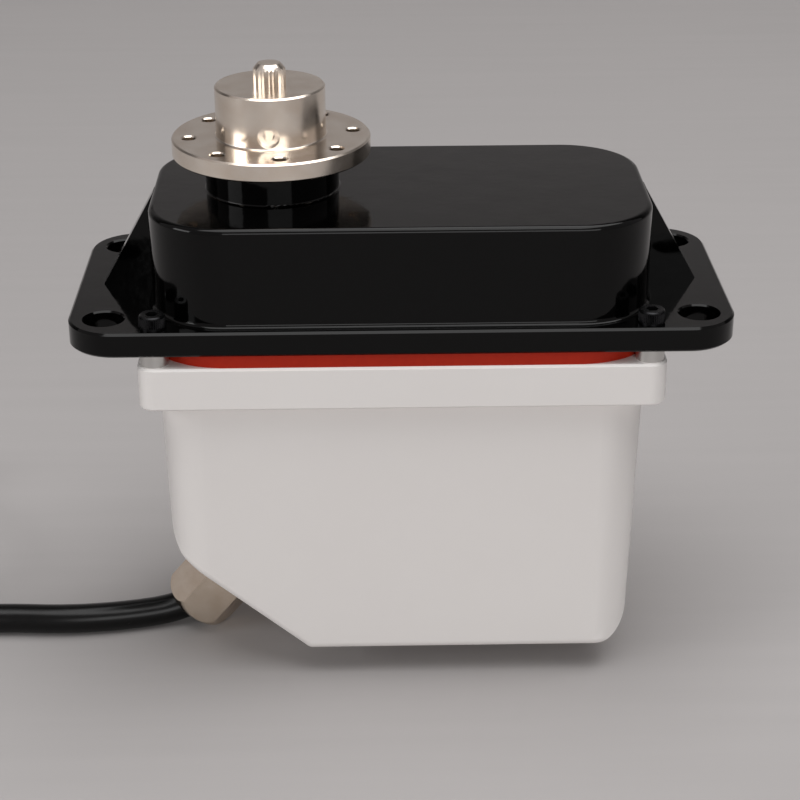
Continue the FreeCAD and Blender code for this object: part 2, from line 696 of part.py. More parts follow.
# ================================================================ output side
def serration(diameter, z0, z1):
    """Straight-toothed spline bar on the output axis."""
    points = []
    for k in range(2 * SPLINE_TEETH):
        radius = diameter / 2 - (k % 2) * SPLINE_DEPTH
        angle = math.pi * k / SPLINE_TEETH
        points.append(V(OUTPUT_X + radius * math.cos(angle), radius * math.sin(angle), z0))
    return Part.Face(Part.makePolygon(points + points[:1])).extrude(V(0, 0, z1 - z0))


def bearing(outer, bore, width, z0):
    """Shielded ball bearing as its closed outer form, with the shields set back from both faces."""
    body = ring(outer - 2 * FIT, bore, z0, z0 + width, *OUTPUT_AXIS)
    for low, high in ((z0 - OVERCUT, z0 + SHIELD_DEPTH), (z0 + width - SHIELD_DEPTH, z0 + width + OVERCUT)):
        body = body.cut(ring(outer - 2 * RACE_WALL, bore + 2 * RACE_WALL, low, high, *OUTPUT_AXIS))
    return body


def build_shaft():
    x, y = OUTPUT_AXIS
    gear_z, gear_top = WHEEL_Z[3], WHEEL_Z[3] + WHEEL_WIDTH[3]
    shaft = fuse([
        cylinder(LOWER_BEARING_BORE - 2 * FIT, SHAFT_FOOT, PLATE_TOP + HUB_RISE, x, y),
        cylinder(LOWER_BEARING_BORE + 2 * SHAFT_SHOULDER, PLATE_TOP + HUB_RISE, gear_z - SHAFT_COLLAR, x, y),
        cylinder(GEAR_SHAFT_DIAMETER + 2 * SHAFT_COLLAR, gear_z - SHAFT_COLLAR, gear_z, x, y),
        gear_seat(GEAR_SHAFT_DIAMETER, GEAR_SHAFT_FLATS, gear_z, gear_top),
        cylinder(UPPER_BEARING_BORE - 2 * FIT, gear_top, DISC_Z, x, y)])
    magnet_top = SHAFT_FOOT + SENSOR_MAGNET_DEPTH
    shaft = drill(shaft, SENSOR_MAGNET + 2 * FIT, SHAFT_FOOT - OVERCUT, magnet_top, [OUTPUT_AXIS])
    side = SPLINE_DIAMETER / 2
    crown = revolve_profile([(0, DISC_Z), (side, DISC_Z), (side, SHAFT_TOP - SPLINE_CROWN),
                             (side - SPLINE_BEVEL, SHAFT_TOP - SPLINE_CROWN / 2),
                             (side - 2 * SPLINE_BEVEL, SHAFT_TOP - SPLINE_TIP_DROP),
                             (SPLINE_TIP, SHAFT_TOP), (0, SHAFT_TOP)], x, y)
    save("output_shaft", fuse([shaft, serration(SPLINE_DIAMETER, DISC_Z, SHAFT_TOP).common(crown)]))
    save("sensor_magnet", cylinder(SENSOR_MAGNET, SHAFT_FOOT, magnet_top - FIT, x, y))


def build_hub():
    x, y = OUTPUT_AXIS
    disc = cylinder(DISC_DIAMETER, DISC_Z, DISC_TOP, x, y)
    hub = fuse([disc, cylinder(HUB_DIAMETER, DISC_Z, HUB_TOP, x, y)])
    hub = hub.makeFillet(HUB_FILLET, circles_at(hub, DISC_TOP, HUB_DIAMETER))
    rims = circles_at(hub, HUB_TOP, HUB_DIAMETER) + circles_at(hub, DISC_TOP, DISC_DIAMETER)
    hub = hub.makeChamfer(HUB_EDGE, rims + circles_at(hub, DISC_Z, DISC_DIAMETER))
    hub = hub.cut(serration(SPLINE_DIAMETER + 2 * RUNNING, DISC_Z - OVERCUT, HUB_TOP + OVERCUT))
    for k in range(DISC_HOLE_COUNT):
        hx, hy = step(OUTPUT_AXIS, DISC_HOLE_CIRCLE / 2, DISC_HOLE_TURN + 360.0 * k / DISC_HOLE_COUNT)
        drill = cylinder(DISC_HOLE, DISC_Z - OVERCUT, DISC_TOP + OVERCUT, hx, hy)
        sink = Part.makeCone(DISC_HOLE / 2, DISC_HOLE / 2 + 2 * DISC_HOLE_CHAMFER, 2 * DISC_HOLE_CHAMFER,
                             V(hx, hy, DISC_TOP - DISC_HOLE_CHAMFER), UP)
        hub = hub.cut(drill).cut(sink)
    # set screw, pointing at the spline from the front
    front = V(0, -1, 0)
    screw_z = DISC_TOP + SET_SCREW_RISE
    save("output_hub", hub.cut(Part.makeCylinder(SET_SCREW / 2, HUB_DIAMETER, V(x, y, screw_z), front)))
    seat = SPLINE_DIAMETER / 2 + RUNNING
    outer_end = HUB_DIAMETER / 2 - SET_SCREW_RECESS
    screw = Part.makeCylinder(SET_SCREW / 2 - FIT, outer_end - seat, V(x, y - seat, screw_z), front)
    socket = hexagon(SET_SCREW_SOCKET, 0, SET_SCREW_SOCKET_DEPTH + OVERCUT)
    foot = V(x, y - outer_end + SET_SCREW_SOCKET_DEPTH, screw_z)
    socket.Placement = FreeCAD.Placement(foot, FreeCAD.Rotation(UP, front))
    save("hub_set_screw", screw.cut(socket))


def build_shaft_support():
    x, y = OUTPUT_AXIS
    upper = bearing(UPPER_BEARING_OUTER, UPPER_BEARING_BORE, UPPER_BEARING_WIDTH, UPPER_BEARING_Z)
    lower = bearing(LOWER_BEARING_OUTER, LOWER_BEARING_BORE, LOWER_BEARING_WIDTH, LOWER_BEARING_Z)
    save("shaft_bearing_upper", upper)
    save("shaft_bearing_lower", lower)
    inner = UPPER_BEARING_BORE / 2
    outer = SEAL_DIAMETER / 2 - FIT
    top = BOSS_TOP - SEAL_RECESS
    lip_z = top - SEAL_LIP_DROP
    save("shaft_seal", revolve_profile([
        (inner + RUNNING, lip_z), (inner + SEAL_SKIN, top), (outer - SEAL_SKIN, top),
        (outer - SEAL_GROOVE, top - SEAL_GROOVE), (outer, top - SEAL_GROOVE), (outer, SEAL_Z),
        (inner + SEAL_SKIN, SEAL_Z), (inner + RUNNING, lip_z - SEAL_LIP)], x, y))


# ================================================================ gearbox cover
def plate_screws():
    """Places of the corner bosses inside the cover, on the diagonals of its round corners."""
    reach = (CAVITY_CORNER - PLATE_BOSS_DIAMETER / 2 + PLATE_BOSS_SINK) * math.sqrt(0.5)
    inset = CAVITY_CORNER - reach
    return corners(CAVITY_LENGTH - 2 * inset, CAVITY_WIDTH - 2 * inset)


def build_cover():
    flange = rounded_prism(FLANGE_LENGTH, FLANGE_WIDTH, FLANGE_CORNER, FLANGE_Z, FLANGE_TOP)
    rims = edges_at(flange, level(FLANGE_TOP)) + edges_at(flange, level(FLANGE_Z))
    flange = flange.makeChamfer(FLANGE_EDGE, rims)
    box = rounded_prism(COVER_LENGTH, COVER_WIDTH, COVER_CORNER, FLANGE_Z + OVERCUT, COVER_TOP)
    cover = fuse([flange, box])

    def on_foot(p):
        return level(FLANGE_TOP)(p) and abs(p.x) < COVER_LENGTH / 2 + 0.1 and abs(p.y) < COVER_WIDTH / 2 + 0.1

    cover = cover.makeFillet(COVER_FOOT_FILLET, edges_at(cover, on_foot))
    cover = cover.makeFillet(COVER_TOP_FILLET, edges_at(cover, level(COVER_TOP)))
    x, y = OUTPUT_AXIS
    cover = fuse([cover, cylinder(BOSS_DIAMETER, COVER_TOP - OVERCUT, BOSS_TOP, x, y)])
    cover = cover.makeFillet(BOSS_FOOT_FILLET, circles_at(cover, COVER_TOP, BOSS_DIAMETER))
    cover = cover.makeChamfer(BOSS_EDGE, circles_at(cover, BOSS_TOP, BOSS_DIAMETER))
    cover = cover.fuse([end_rib(side) for side in (-1, 1)])
    cover = cover.cut(rounded_prism(CAVITY_LENGTH, CAVITY_WIDTH, CAVITY_CORNER, FLANGE_Z - OVERCUT, CEILING))
    cover = cover.fuse([cylinder(PLATE_BOSS_DIAMETER, PLATE_TOP, CEILING + OVERCUT, px, py)
                        for px, py in plate_screws()])
    cover = drill(cover, PLATE_SCREW_BORE, PLATE_TOP - OVERCUT, PLATE_TOP + PLATE_SCREW_BITE, plate_screws())
    cover = drill(cover, UPPER_BEARING_OUTER, CEILING - OVERCUT, SEAL_Z, [OUTPUT_AXIS])
    cover = drill(cover, SEAL_DIAMETER, CEILING, BOSS_TOP + OVERCUT, [OUTPUT_AXIS])
    for axis, pin in zip(AXES, PIN_DIAMETER):
        cover = drill(cover, pin + 2 * FIT, CEILING - OVERCUT, CEILING + PIN_SEAT, [axis])
    low, high = FLANGE_Z - OVERCUT, FLANGE_TOP + OVERCUT
    cover = drill(cover, MOUNT_HOLE, low, high, corners(MOUNT_PITCH_X, MOUNT_PITCH_Y))
    cover = drill(cover, SCREW_THREAD + 2 * SCREW_CLEARANCE, low, high, corners(SCREW_PITCH_X, SCREW_PITCH_Y))
    cover = cover.makeChamfer(MOUNT_EDGE, circles_at(cover, FLANGE_TOP, MOUNT_HOLE))
    save("gearbox_cover", cover.removeSplitter())


def end_rib(side):
    """Sloping rib from the top of the cover's end wall down to the ear of the flange."""
    wall = side * (COVER_LENGTH / 2 - RIB_ROOT)
    toe = side * (COVER_LENGTH / 2 + RIB_REACH)
    head = COVER_TOP - RIB_DROP
    points = [V(wall, 0, FLANGE_TOP - RIB_ROOT), V(toe, 0, FLANGE_TOP - RIB_ROOT), V(toe, 0, FLANGE_TOP),
              V(side * COVER_LENGTH / 2, 0, head), V(wall, 0, head - RIB_DROP)]
    rib = Part.Face(Part.makePolygon(points + points[:1])).extrude(V(0, RIB_THICKNESS, 0))
    rib.translate(V(0, -RIB_THICKNESS / 2, 0))
    return rib


def cap_screw(x, y):
    """Socket head cap screw standing on the flange, thread down."""
    top = FLANGE_TOP + SCREW_HEAD_HEIGHT
    head = cylinder(SCREW_HEAD, FLANGE_TOP, top, x, y)
    head = head.makeChamfer(SCREW_HEAD_EDGE, circles_at(head, top, SCREW_HEAD))
    socket = hexagon(SCREW_SOCKET, top - SCREW_SOCKET_DEPTH, top + OVERCUT).translated(V(x, y, 0))
    shank = cylinder(SCREW_THREAD - 2 * FIT, FLANGE_TOP - SCREW_REACH, FLANGE_TOP, x, y)
    return fuse([head, shank]).cut(socket)


def build_cover_screws():
    save("cover_screws", group(cap_screw(x, y) for x, y in corners(SCREW_PITCH_X, SCREW_PITCH_Y)))


# ================================================================ mid plate
def motor_screws():
    return [step(MOTOR_AXIS, side * MOTOR_SCREW_PITCH / 2, MOTOR_SCREW_TURN) for side in (-1, 1)]


def sensor_screws():
    return [(OUTPUT_X, side * SENSOR_SCREW_PITCH / 2) for side in (-1, 1)]


def small_screw(x, y, head_top, reach):
    """Self-tapping pan head screw driven upwards, head below the given level."""
    head = cylinder(PLATE_SCREW_HEAD, head_top - PLATE_SCREW_HEAD_HEIGHT, head_top, x, y)
    return fuse([head, cylinder(PLATE_SCREW_BORE - 2 * FIT, head_top, head_top + reach, x, y)])


def build_mid_plate():
    plate = rounded_prism(CAVITY_LENGTH - 2 * PLATE_SIDE_GAP, CAVITY_WIDTH - 2 * PLATE_SIDE_GAP,
                          CAVITY_CORNER - PLATE_SIDE_GAP, PLATE_Z, PLATE_TOP)
    cup = LOWER_BEARING_OUTER + 2 * BEARING_CUP_WALL
    posts = [cylinder(SENSOR_POST, SENSOR_BOARD_TOP, PLATE_Z + OVERCUT, *place) for place in sensor_screws()]
    cup_z = LOWER_BEARING_Z - BEARING_LIP
    plate = fuse([plate, cylinder(cup, cup_z, PLATE_Z + OVERCUT, *OUTPUT_AXIS)] + posts)
    low, high = PLATE_Z - OVERCUT, PLATE_TOP + OVERCUT
    plate = drill(plate, LOWER_BEARING_OUTER, LOWER_BEARING_Z, high, [OUTPUT_AXIS])
    plate = drill(plate, LOWER_BEARING_BORE + 2 * SHAFT_COLLAR, cup_z - OVERCUT, PLATE_TOP, [OUTPUT_AXIS])
    for axis, pin in zip(AXES, PIN_DIAMETER):
        plate = drill(plate, pin + 2 * FIT, PLATE_Z + PIN_FLOOR - PIN_END_GAP, high, [axis])
    plate = drill(plate, MOTOR_PILOT + SCREW_CLEARANCE, low, high, [MOTOR_AXIS])
    plate = drill(plate, MOTOR_SCREW + 2 * SCREW_CLEARANCE, low, high, motor_screws())
    for px, py in motor_screws():
        plate = plate.cut(Part.makeCone(MOTOR_SCREW / 2, MOTOR_SCREW_HEAD / 2, MOTOR_SCREW_SINK,
                                        V(px, py, PLATE_TOP - MOTOR_SCREW_SINK), UP))
    plate = drill(plate, PLATE_SCREW + 2 * SCREW_CLEARANCE, low, high, plate_screws())
    plate = drill(plate, PLATE_SCREW_BORE, SENSOR_BOARD_TOP - OVERCUT,
                  PLATE_Z + SENSOR_BORE_OVER, sensor_screws())
    save("mid_plate", plate)
    reach = PLATE_THICKNESS + PLATE_SCREW_BITE - SCREW_TIP_GAP
    save("mid_plate_screws", group(small_screw(x, y, PLATE_Z, reach) for x, y in plate_screws()))
    save("motor_screws", group(countersunk_screw(x, y) for x, y in motor_screws()))


def countersunk_screw(x, y):
    """Countersunk screw from the mid plate into the motor's front."""
    seat = PLATE_TOP - MOTOR_SCREW_SINK
    head = Part.makeCone(MOTOR_SCREW / 2 - FIT, MOTOR_SCREW_HEAD / 2 - 2 * FIT, MOTOR_SCREW_SINK - FIT,
                         V(x, y, seat), UP)
    shank = cylinder(MOTOR_SCREW - 2 * FIT, PLATE_Z - MOTOR_SCREW_BITE, seat, x, y)
    socket = hexagon(MOTOR_SCREW_SOCKET, PLATE_TOP - MOTOR_SCREW_SOCKET_DEPTH, PLATE_TOP + OVERCUT)
    return fuse([head, shank]).cut(socket.translated(V(x, y, 0)))


def build_sensor():
    x, y = OUTPUT_AXIS
    board = slab(x, y, SENSOR_BOARD_WIDTH, SENSOR_BOARD_LENGTH, SENSOR_BOARD_Z, SENSOR_BOARD_TOP)
    save("sensor_board", drill(board, PLATE_SCREW + 2 * SCREW_CLEARANCE, SENSOR_BOARD_Z - OVERCUT,
                               SENSOR_BOARD_TOP + OVERCUT, sensor_screws()))
    save("sensor_chip", slab(x, y, SENSOR_CHIP_LENGTH, SENSOR_CHIP_WIDTH, SENSOR_BOARD_TOP,
                             SENSOR_BOARD_TOP + SENSOR_CHIP_HEIGHT))
    save("sensor_socket", slab(x, y + SENSOR_SOCKET_OFFSET, SENSOR_SOCKET_LENGTH, SENSOR_SOCKET_WIDTH,
                               SENSOR_BOARD_Z - SENSOR_SOCKET_HEIGHT, SENSOR_BOARD_Z))
    reach = SENSOR_BOARD_THICKNESS + SENSOR_SCREW_BITE
    save("sensor_screws", group(small_screw(px, py, SENSOR_BOARD_Z, reach) for px, py in sensor_screws()))


# ================================================================ lower case and gasket
def wall_x(z, inset):
    """Half length of the tapered case at a level, with its wall moved inwards by the inset."""
    return CASE_LENGTH / 2 - (RIM_Z - z) * math.tan(draft) - inset / math.cos(draft)


def drafted_box(inset, z0, z1):
    """Tapered case body between two levels, its walls moved inwards by the inset; corners are cones."""
    a, b, radius = [], [], []
    for z in (z0, z1):
        taper = (RIM_Z - z) * math.tan(draft) + inset
        a.append(CASE_LENGTH / 2 - taper)
        b.append(CASE_WIDTH / 2 - taper)
        radius.append(CASE_CORNER - taper)
    arm_x, arm_y = a[0] - radius[0], b[0] - radius[0]
    height = z1 - z0
    # a wedge runs along its own Y axis, which is turned here to stand up
    along = Part.makeWedge(-a[0], 0, -arm_y, -arm_y, -a[1], a[0], height, arm_y, arm_y, a[1])
    across = Part.makeWedge(-arm_x, 0, -b[0], -b[1], -arm_x, arm_x, height, b[0], b[1], arm_x)
    parts = []
    for wedge in (along, across):
        wedge.rotate(V(0, 0, 0), V(1, 0, 0), 90)
        wedge.translate(V(0, 0, z0))
        parts.append(wedge)
    for x, y in corners(2 * arm_x, 2 * arm_y):
        parts.append(Part.makeCone(radius[0], radius[1], height, V(x, y, z0), UP))
    return fuse(parts)


def cutter(outline, first, middle, last):
    """Corner cutter across the whole case: an arc closed by straight lines through the outline points."""
    edges = [Part.Arc(first, middle, last).toShape()]
    for near, far in zip([last] + outline, outline + [first]):
        edges.append(Part.makeLine(near, far))
    return across_case(Part.Face(Part.Wire(edges)))


def across_case(face):
    """Prism of a face in the XZ plane, wider than the case."""
    return face.extrude(V(0, 2 * CASE_WIDTH, 0)).translated(V(0, -CASE_WIDTH, 0))


def slope_plane_tool():
    """What the sloped corner takes off before its blend is made."""
    start = V(-SLOPE_START, 0, CASE_Z)
    below = start - DOWN_SLOPE * SLOPE_OVERRUN
    above = start + DOWN_SLOPE * CASE_LENGTH
    return across_case(Part.Face(Part.makePolygon([below, above, V(above.x, 0, below.z), below])))


def slope_tool(inset):
    """What the sloped corner takes off, with its round blend into the end wall."""
    radius = SLOPE_BLEND - inset
    floor = CASE_Z + inset
    start = V(-SLOPE_START, 0, CASE_Z) - GLAND_AXIS * inset
    # the blend's centre is one radius inside the slope and one radius inside the end wall
    origin = start - GLAND_AXIS * radius
    lean = math.tan(draft)
    wall = radius / math.cos(draft) - wall_x(floor, inset)
    along = (wall - origin.x - (origin.z - floor) * lean) / (DOWN_SLOPE.x + DOWN_SLOPE.z * lean)
    centre = origin + DOWN_SLOPE * along
    on_slope = centre + GLAND_AXIS * radius
    on_wall = centre + V(-math.cos(draft), 0, -math.sin(draft)) * radius
    middle = centre + ((on_slope - centre) + (on_wall - centre)).normalize() * radius
    below = start - DOWN_SLOPE * SLOPE_OVERRUN
    outline = [V(-CASE_LENGTH, 0, on_wall.z), V(-CASE_LENGTH, 0, below.z), below]
    return cutter(outline, on_slope, middle, on_wall)


def end_round_tool(inset):
    """What the rounded lower edge of the other end takes off."""
    radius = CASE_END_ROUND - inset
    floor = CASE_Z + inset
    centre = V(wall_x(floor, inset) + radius * math.tan(draft) - radius / math.cos(draft), 0, floor + radius)
    on_floor = centre + V(0, 0, -radius)
    on_wall = centre + V(math.cos(draft), 0, -math.sin(draft)) * radius
    middle = centre + ((on_floor - centre) + (on_wall - centre)).normalize() * radius
    low = floor - SLOPE_OVERRUN
    outline = [V(CASE_LENGTH, 0, on_wall.z), V(CASE_LENGTH, 0, low), V(on_floor.x, 0, low)]
    return cutter(outline, on_floor, middle, on_wall)


def board_rail(side, x):
    """Upright rail on a side wall of the case, beside the control board."""
    wall = side * (CASE_WIDTH / 2 - CASE_WALL / 2)
    inner = side * (BOARD_WIDTH / 2 - RAIL_DEPTH)
    rail = block(x - BOARD_THICKNESS / 2, x + BOARD_THICKNESS / 2, min(wall, inner), max(wall, inner),
                 CASE_Z + CASE_WALL / 2, BOARD_Z + BOARD_HEIGHT)
    return rail.common(drafted_box(CASE_WALL / 2, CASE_Z + CASE_WALL / 2, RIM_Z))


def build_case():
    # the soft lower edges come before the large rounds, which would leave them no width at the walls
    body = drafted_box(0.0, CASE_Z, RIM_Z + OVERCUT).cut(slope_plane_tool())
    body = body.makeFillet(CASE_EDGE, sharp_edges(body, RIM_Z))
    body = body.cut(slope_tool(0.0)).cut(end_round_tool(0.0))
    rim = rounded_prism(RIM_LENGTH, RIM_WIDTH, RIM_CORNER, RIM_Z, RIM_TOP)
    rim = rim.makeChamfer(RIM_EDGE, edges_at(rim, level(RIM_TOP)) + edges_at(rim, level(RIM_Z)))
    screws = corners(SCREW_PITCH_X, SCREW_PITCH_Y)
    posts = [cylinder(POST_DIAMETER, RIM_TOP - OVERCUT, FLANGE_Z, x, y) for x, y in screws]
    case = fuse([body, rim] + posts)
    cavity = drafted_box(CASE_WALL, CASE_Z + CASE_WALL, RIM_TOP + OVERCUT).cut(slope_tool(CASE_WALL))
    case = case.cut(cavity.cut(end_round_tool(CASE_WALL)))
    # thick pad behind the gland
    place = gland_place(CASE_Z)
    pad = cylinder(GLAND_THREAD + 2 * GLAND_PAD, -CASE_WALL - GLAND_PAD, -CASE_WALL / 2)
    case = case.fuse(placed(pad, place))
    # rails that hold the control board
    spread = BOARD_THICKNESS + RAIL_CLEARANCE
    case = case.fuse([board_rail(side, BOARD_X + shift) for side in (-1, 1) for shift in (-spread, spread)])
    bore_foot = -CASE_WALL - GLAND_PAD - OVERCUT
    case = case.cut(placed(cylinder(GLAND_THREAD + 2 * FIT, bore_foot, OVERCUT), place))
    depth = SCREW_REACH - FLANGE_THICKNESS + SCREW_TIP_GAP
    case = drill(case, SCREW_THREAD, FLANGE_Z - depth, FLANGE_Z + OVERCUT, screws)
    save("lower_case", case.removeSplitter())


def gasket_corner():
    """Corner radius that lets the gasket pass the screw posts with the post gap."""
    u = (SCREW_PITCH_X - GASKET_LENGTH) / 2
    v = (SCREW_PITCH_Y - GASKET_WIDTH) / 2
    s = POST_DIAMETER / 2 + GASKET_POST_GAP
    return s - u - v + math.sqrt(2 * (u - s) * (v - s))


def build_gasket():
    outline = rounded_prism(GASKET_LENGTH, GASKET_WIDTH, gasket_corner(), RIM_TOP, FLANGE_Z)
    opening = rounded_prism(CAVITY_LENGTH + 2 * GASKET_BORE_GAP, CAVITY_WIDTH + 2 * GASKET_BORE_GAP,
                            CAVITY_CORNER, RIM_TOP - OVERCUT, FLANGE_Z + OVERCUT)
    save("case_gasket", outline.cut(opening))


# ================================================================ motor
def build_motor():
    x, y = MOTOR_AXIS
    inner = MOTOR_DIAMETER - 2 * MOTOR_CAN_WALL
    front_bush_top = PLATE_Z + MOTOR_PILOT_HEIGHT - MOTOR_BUSH_COVER
    front_bush_z = front_bush_top - MOTOR_BUSH_LENGTH
    hub_z = MOTOR_FOOT - END_CAP_HUB_PROUD
    rear_bush_z = hub_z + END_CAP_HUB_FLOOR
    can = cylinder(MOTOR_DIAMETER, MOTOR_FOOT, PLATE_Z, x, y)
    can = can.makeChamfer(MOTOR_CAN_EDGE, circles_at(can, PLATE_Z, MOTOR_DIAMETER))
    can = can.cut(cylinder(inner, MOTOR_FOOT - OVERCUT, PLATE_Z - MOTOR_CAN_WALL, x, y))
    can = can.fuse(cylinder(MOTOR_PILOT, front_bush_z - PIN_END_GAP, PLATE_Z + MOTOR_PILOT_HEIGHT, x, y))
    can = can.cut(cylinder(MOTOR_BUSH, front_bush_z - OVERCUT, front_bush_top, x, y))
    can = can.cut(cylinder(MOTOR_SHAFT + 2 * MOTOR_SHAFT_GAP, MOTOR_FOOT, PLATE_TOP, x, y))
    can = drill(can, MOTOR_SCREW, PLATE_Z - 2 * MOTOR_CAN_WALL, PLATE_Z + OVERCUT, motor_screws())
    save("motor_can", can.removeSplitter())
    # end cap with its bearing hub and slots for the terminals
    cap_z = MOTOR_FOOT + END_CAP_INSET
    cap_top = cap_z + END_CAP_LENGTH
    cap = cylinder(inner - 2 * FIT, cap_z, cap_top, x, y)
    cap = cap.cut(cylinder(inner - 2 * END_CAP_WALL, cap_z + END_CAP_FLOOR, cap_top + OVERCUT, x, y))
    cap = cap.fuse(cylinder(MOTOR_BUSH + 2 * END_CAP_HUB_WALL, hub_z, hub_z + END_CAP_HUB_LENGTH, x, y))
    cap = cap.cut(cylinder(MOTOR_BUSH, rear_bush_z, hub_z + END_CAP_HUB_LENGTH + OVERCUT, x, y))
    for side in (-1, 1):
        cap = cap.cut(slab(x, y + side * TERMINAL_SPAN / 2, TERMINAL_WIDTH + 2 * TERMINAL_GAP,
                           TERMINAL_THICKNESS + 2 * TERMINAL_GAP, MOTOR_FOOT - OVERCUT, cap_top + OVERCUT))
    save("motor_end_cap", cap.removeSplitter())
    bore = MOTOR_SHAFT + 2 * RUNNING
    save("motor_bushes", group(ring(MOTOR_BUSH - 2 * FIT, bore, z0, z0 + MOTOR_BUSH_LENGTH - FIT, x, y)
                               for z0 in (front_bush_z, rear_bush_z)))
    save("motor_shaft", cylinder(MOTOR_SHAFT, rear_bush_z + SHAFT_END_GAP, pinion_top(0) + PINION_END, x, y))
    build_rotor(inner)


def build_rotor(can_inner):
    """Laminated core with slots, copper coils in them, commutator, magnets, brushes and terminals."""
    x, y = MOTOR_AXIS
    core_top = PLATE_Z - ROTOR_DROP
    core_z = core_top - ROTOR_LENGTH
    core = ring(ROTOR_DIAMETER, MOTOR_SHAFT + FIT, core_z, core_top, x, y)
    low, high = core_z - OVERCUT, core_top + OVERCUT
    bed = cylinder(2 * ROTOR_POCKET_BOTTOM, low, high)
    slot = block(ROTOR_POCKET_BOTTOM, ROTOR_DIAMETER, -ROTOR_SLOT / 2, ROTOR_SLOT / 2, low, high)
    half = ROTOR_POCKET_WIDTH / 2
    pocket = block(ROTOR_POCKET_BOTTOM, ROTOR_POCKET_TOP, -half, half, low, high).cut(bed)
    half -= WINDING_GAP
    coil = block(ROTOR_POCKET_BOTTOM + WINDING_SEAT, ROTOR_POCKET_TOP - WINDING_GAP, -half, half,
                 core_z - WINDING_OVERHANG, core_top + WINDING_OVERHANG)
    coils = []
    for k in range(ROTOR_POLES):
        angle = 360.0 / ROTOR_POLES * k
        core = core.cut(turned_about(slot, MOTOR_AXIS, angle)).cut(turned_about(pocket, MOTOR_AXIS, angle))
        coils.append(turned_about(coil, MOTOR_AXIS, angle))
    save("motor_rotor", core)
    save("motor_windings", group(coils))
    drum_top = core_z - COMMUTATOR_DROP
    drum_z = drum_top - COMMUTATOR_LENGTH
    drum = ring(COMMUTATOR_DIAMETER, MOTOR_SHAFT + FIT, drum_z, drum_top, x, y)
    groove = block(COMMUTATOR_DIAMETER / 2 - COMMUTATOR_SLOT_DEPTH, COMMUTATOR_DIAMETER,
                   -COMMUTATOR_SLOT / 2, COMMUTATOR_SLOT / 2, drum_z - OVERCUT, drum_top + OVERCUT)
    for k in range(ROTOR_POLES):
        drum = drum.cut(turned_about(groove, MOTOR_AXIS, 360.0 / ROTOR_POLES * (k + 0.5)))
    save("motor_commutator", drum)
    magnet_z = core_z - MAGNET_OVERHANG
    magnet_top = magnet_z + MAGNET_LENGTH
    shell = ring(can_inner - 2 * FIT, can_inner - 2 * MAGNET_THICKNESS, magnet_z, magnet_top, x, y)
    magnets, brushes, blades = [], [], []
    brush_z = drum_z + BRUSH_RISE
    brush_top = brush_z + BRUSH_HEIGHT
    for side in (-1, 1):
        magnets.append(shell.common(slab(x, y + side * MOTOR_DIAMETER / 2, MAGNET_WIDTH, MOTOR_DIAMETER,
                                         magnet_z, magnet_top)))
        near = COMMUTATOR_DIAMETER / 2 + RUNNING
        far = TERMINAL_SPAN / 2 - TERMINAL_THICKNESS / 2 - BRUSH_END_GAP
        brushes.append(slab(x, y + side * (near + far) / 2, BRUSH_WIDTH, far - near, brush_z, brush_top))
        blades.append(slab(x, y + side * TERMINAL_SPAN / 2, TERMINAL_WIDTH, TERMINAL_THICKNESS,
                           MOTOR_FOOT - TERMINAL_PROUD, brush_top))
    save("motor_magnets", group(magnets))
    save("motor_brushes", group(brushes))
    save("motor_terminals", group(blades))


# ================================================================ control board and wiring
def on_board(depth, y, width, rise, height):
    """Box standing on the board's left face; y is its middle, rise its lower edge above the board's foot."""
    foot = BOARD_Z + rise
    return block(BOARD_LEFT - depth, BOARD_LEFT, y - width / 2, y + width / 2, foot, foot + height)


def build_board():
    save("control_board", slab(BOARD_X, 0, BOARD_THICKNESS, BOARD_WIDTH, BOARD_Z, BOARD_Z + BOARD_HEIGHT))
    chips = []
    for k in range(DRIVER_CHIP_COUNT):
        middle = (k - (DRIVER_CHIP_COUNT - 1) / 2) * DRIVER_CHIP_PITCH
        chips.append(on_board(DRIVER_CHIP_THICKNESS, middle, DRIVER_CHIP_WIDTH,
                              DRIVER_CHIP_RISE, DRIVER_CHIP_HEIGHT))
    chips.append(on_board(CONTROLLER_THICKNESS, 0.0, CONTROLLER_CHIP, CONTROLLER_RISE, CONTROLLER_CHIP))
    save("board_chips", group(chips))
    capacitor_foot = V(BOARD_LEFT, CAPACITOR_Y, BOARD_Z + CAPACITOR_RISE)
    save("board_capacitor", Part.makeCylinder(CAPACITOR_DIAMETER / 2, CAPACITOR_LENGTH,
                                              capacitor_foot, V(-1, 0, 0)))
    power = on_board(POWER_SOCKET_DEPTH, POWER_SOCKET_Y, POWER_SOCKET_WIDTH,
                     POWER_SOCKET_RISE, POWER_SOCKET_HEIGHT)
    signal = on_board(SIGNAL_SOCKET_DEPTH, SIGNAL_SOCKET_Y, SIGNAL_SOCKET_WIDTH,
                      SIGNAL_SOCKET_RISE, SIGNAL_SOCKET_HEIGHT)
    save("board_sockets", group([power, signal]))


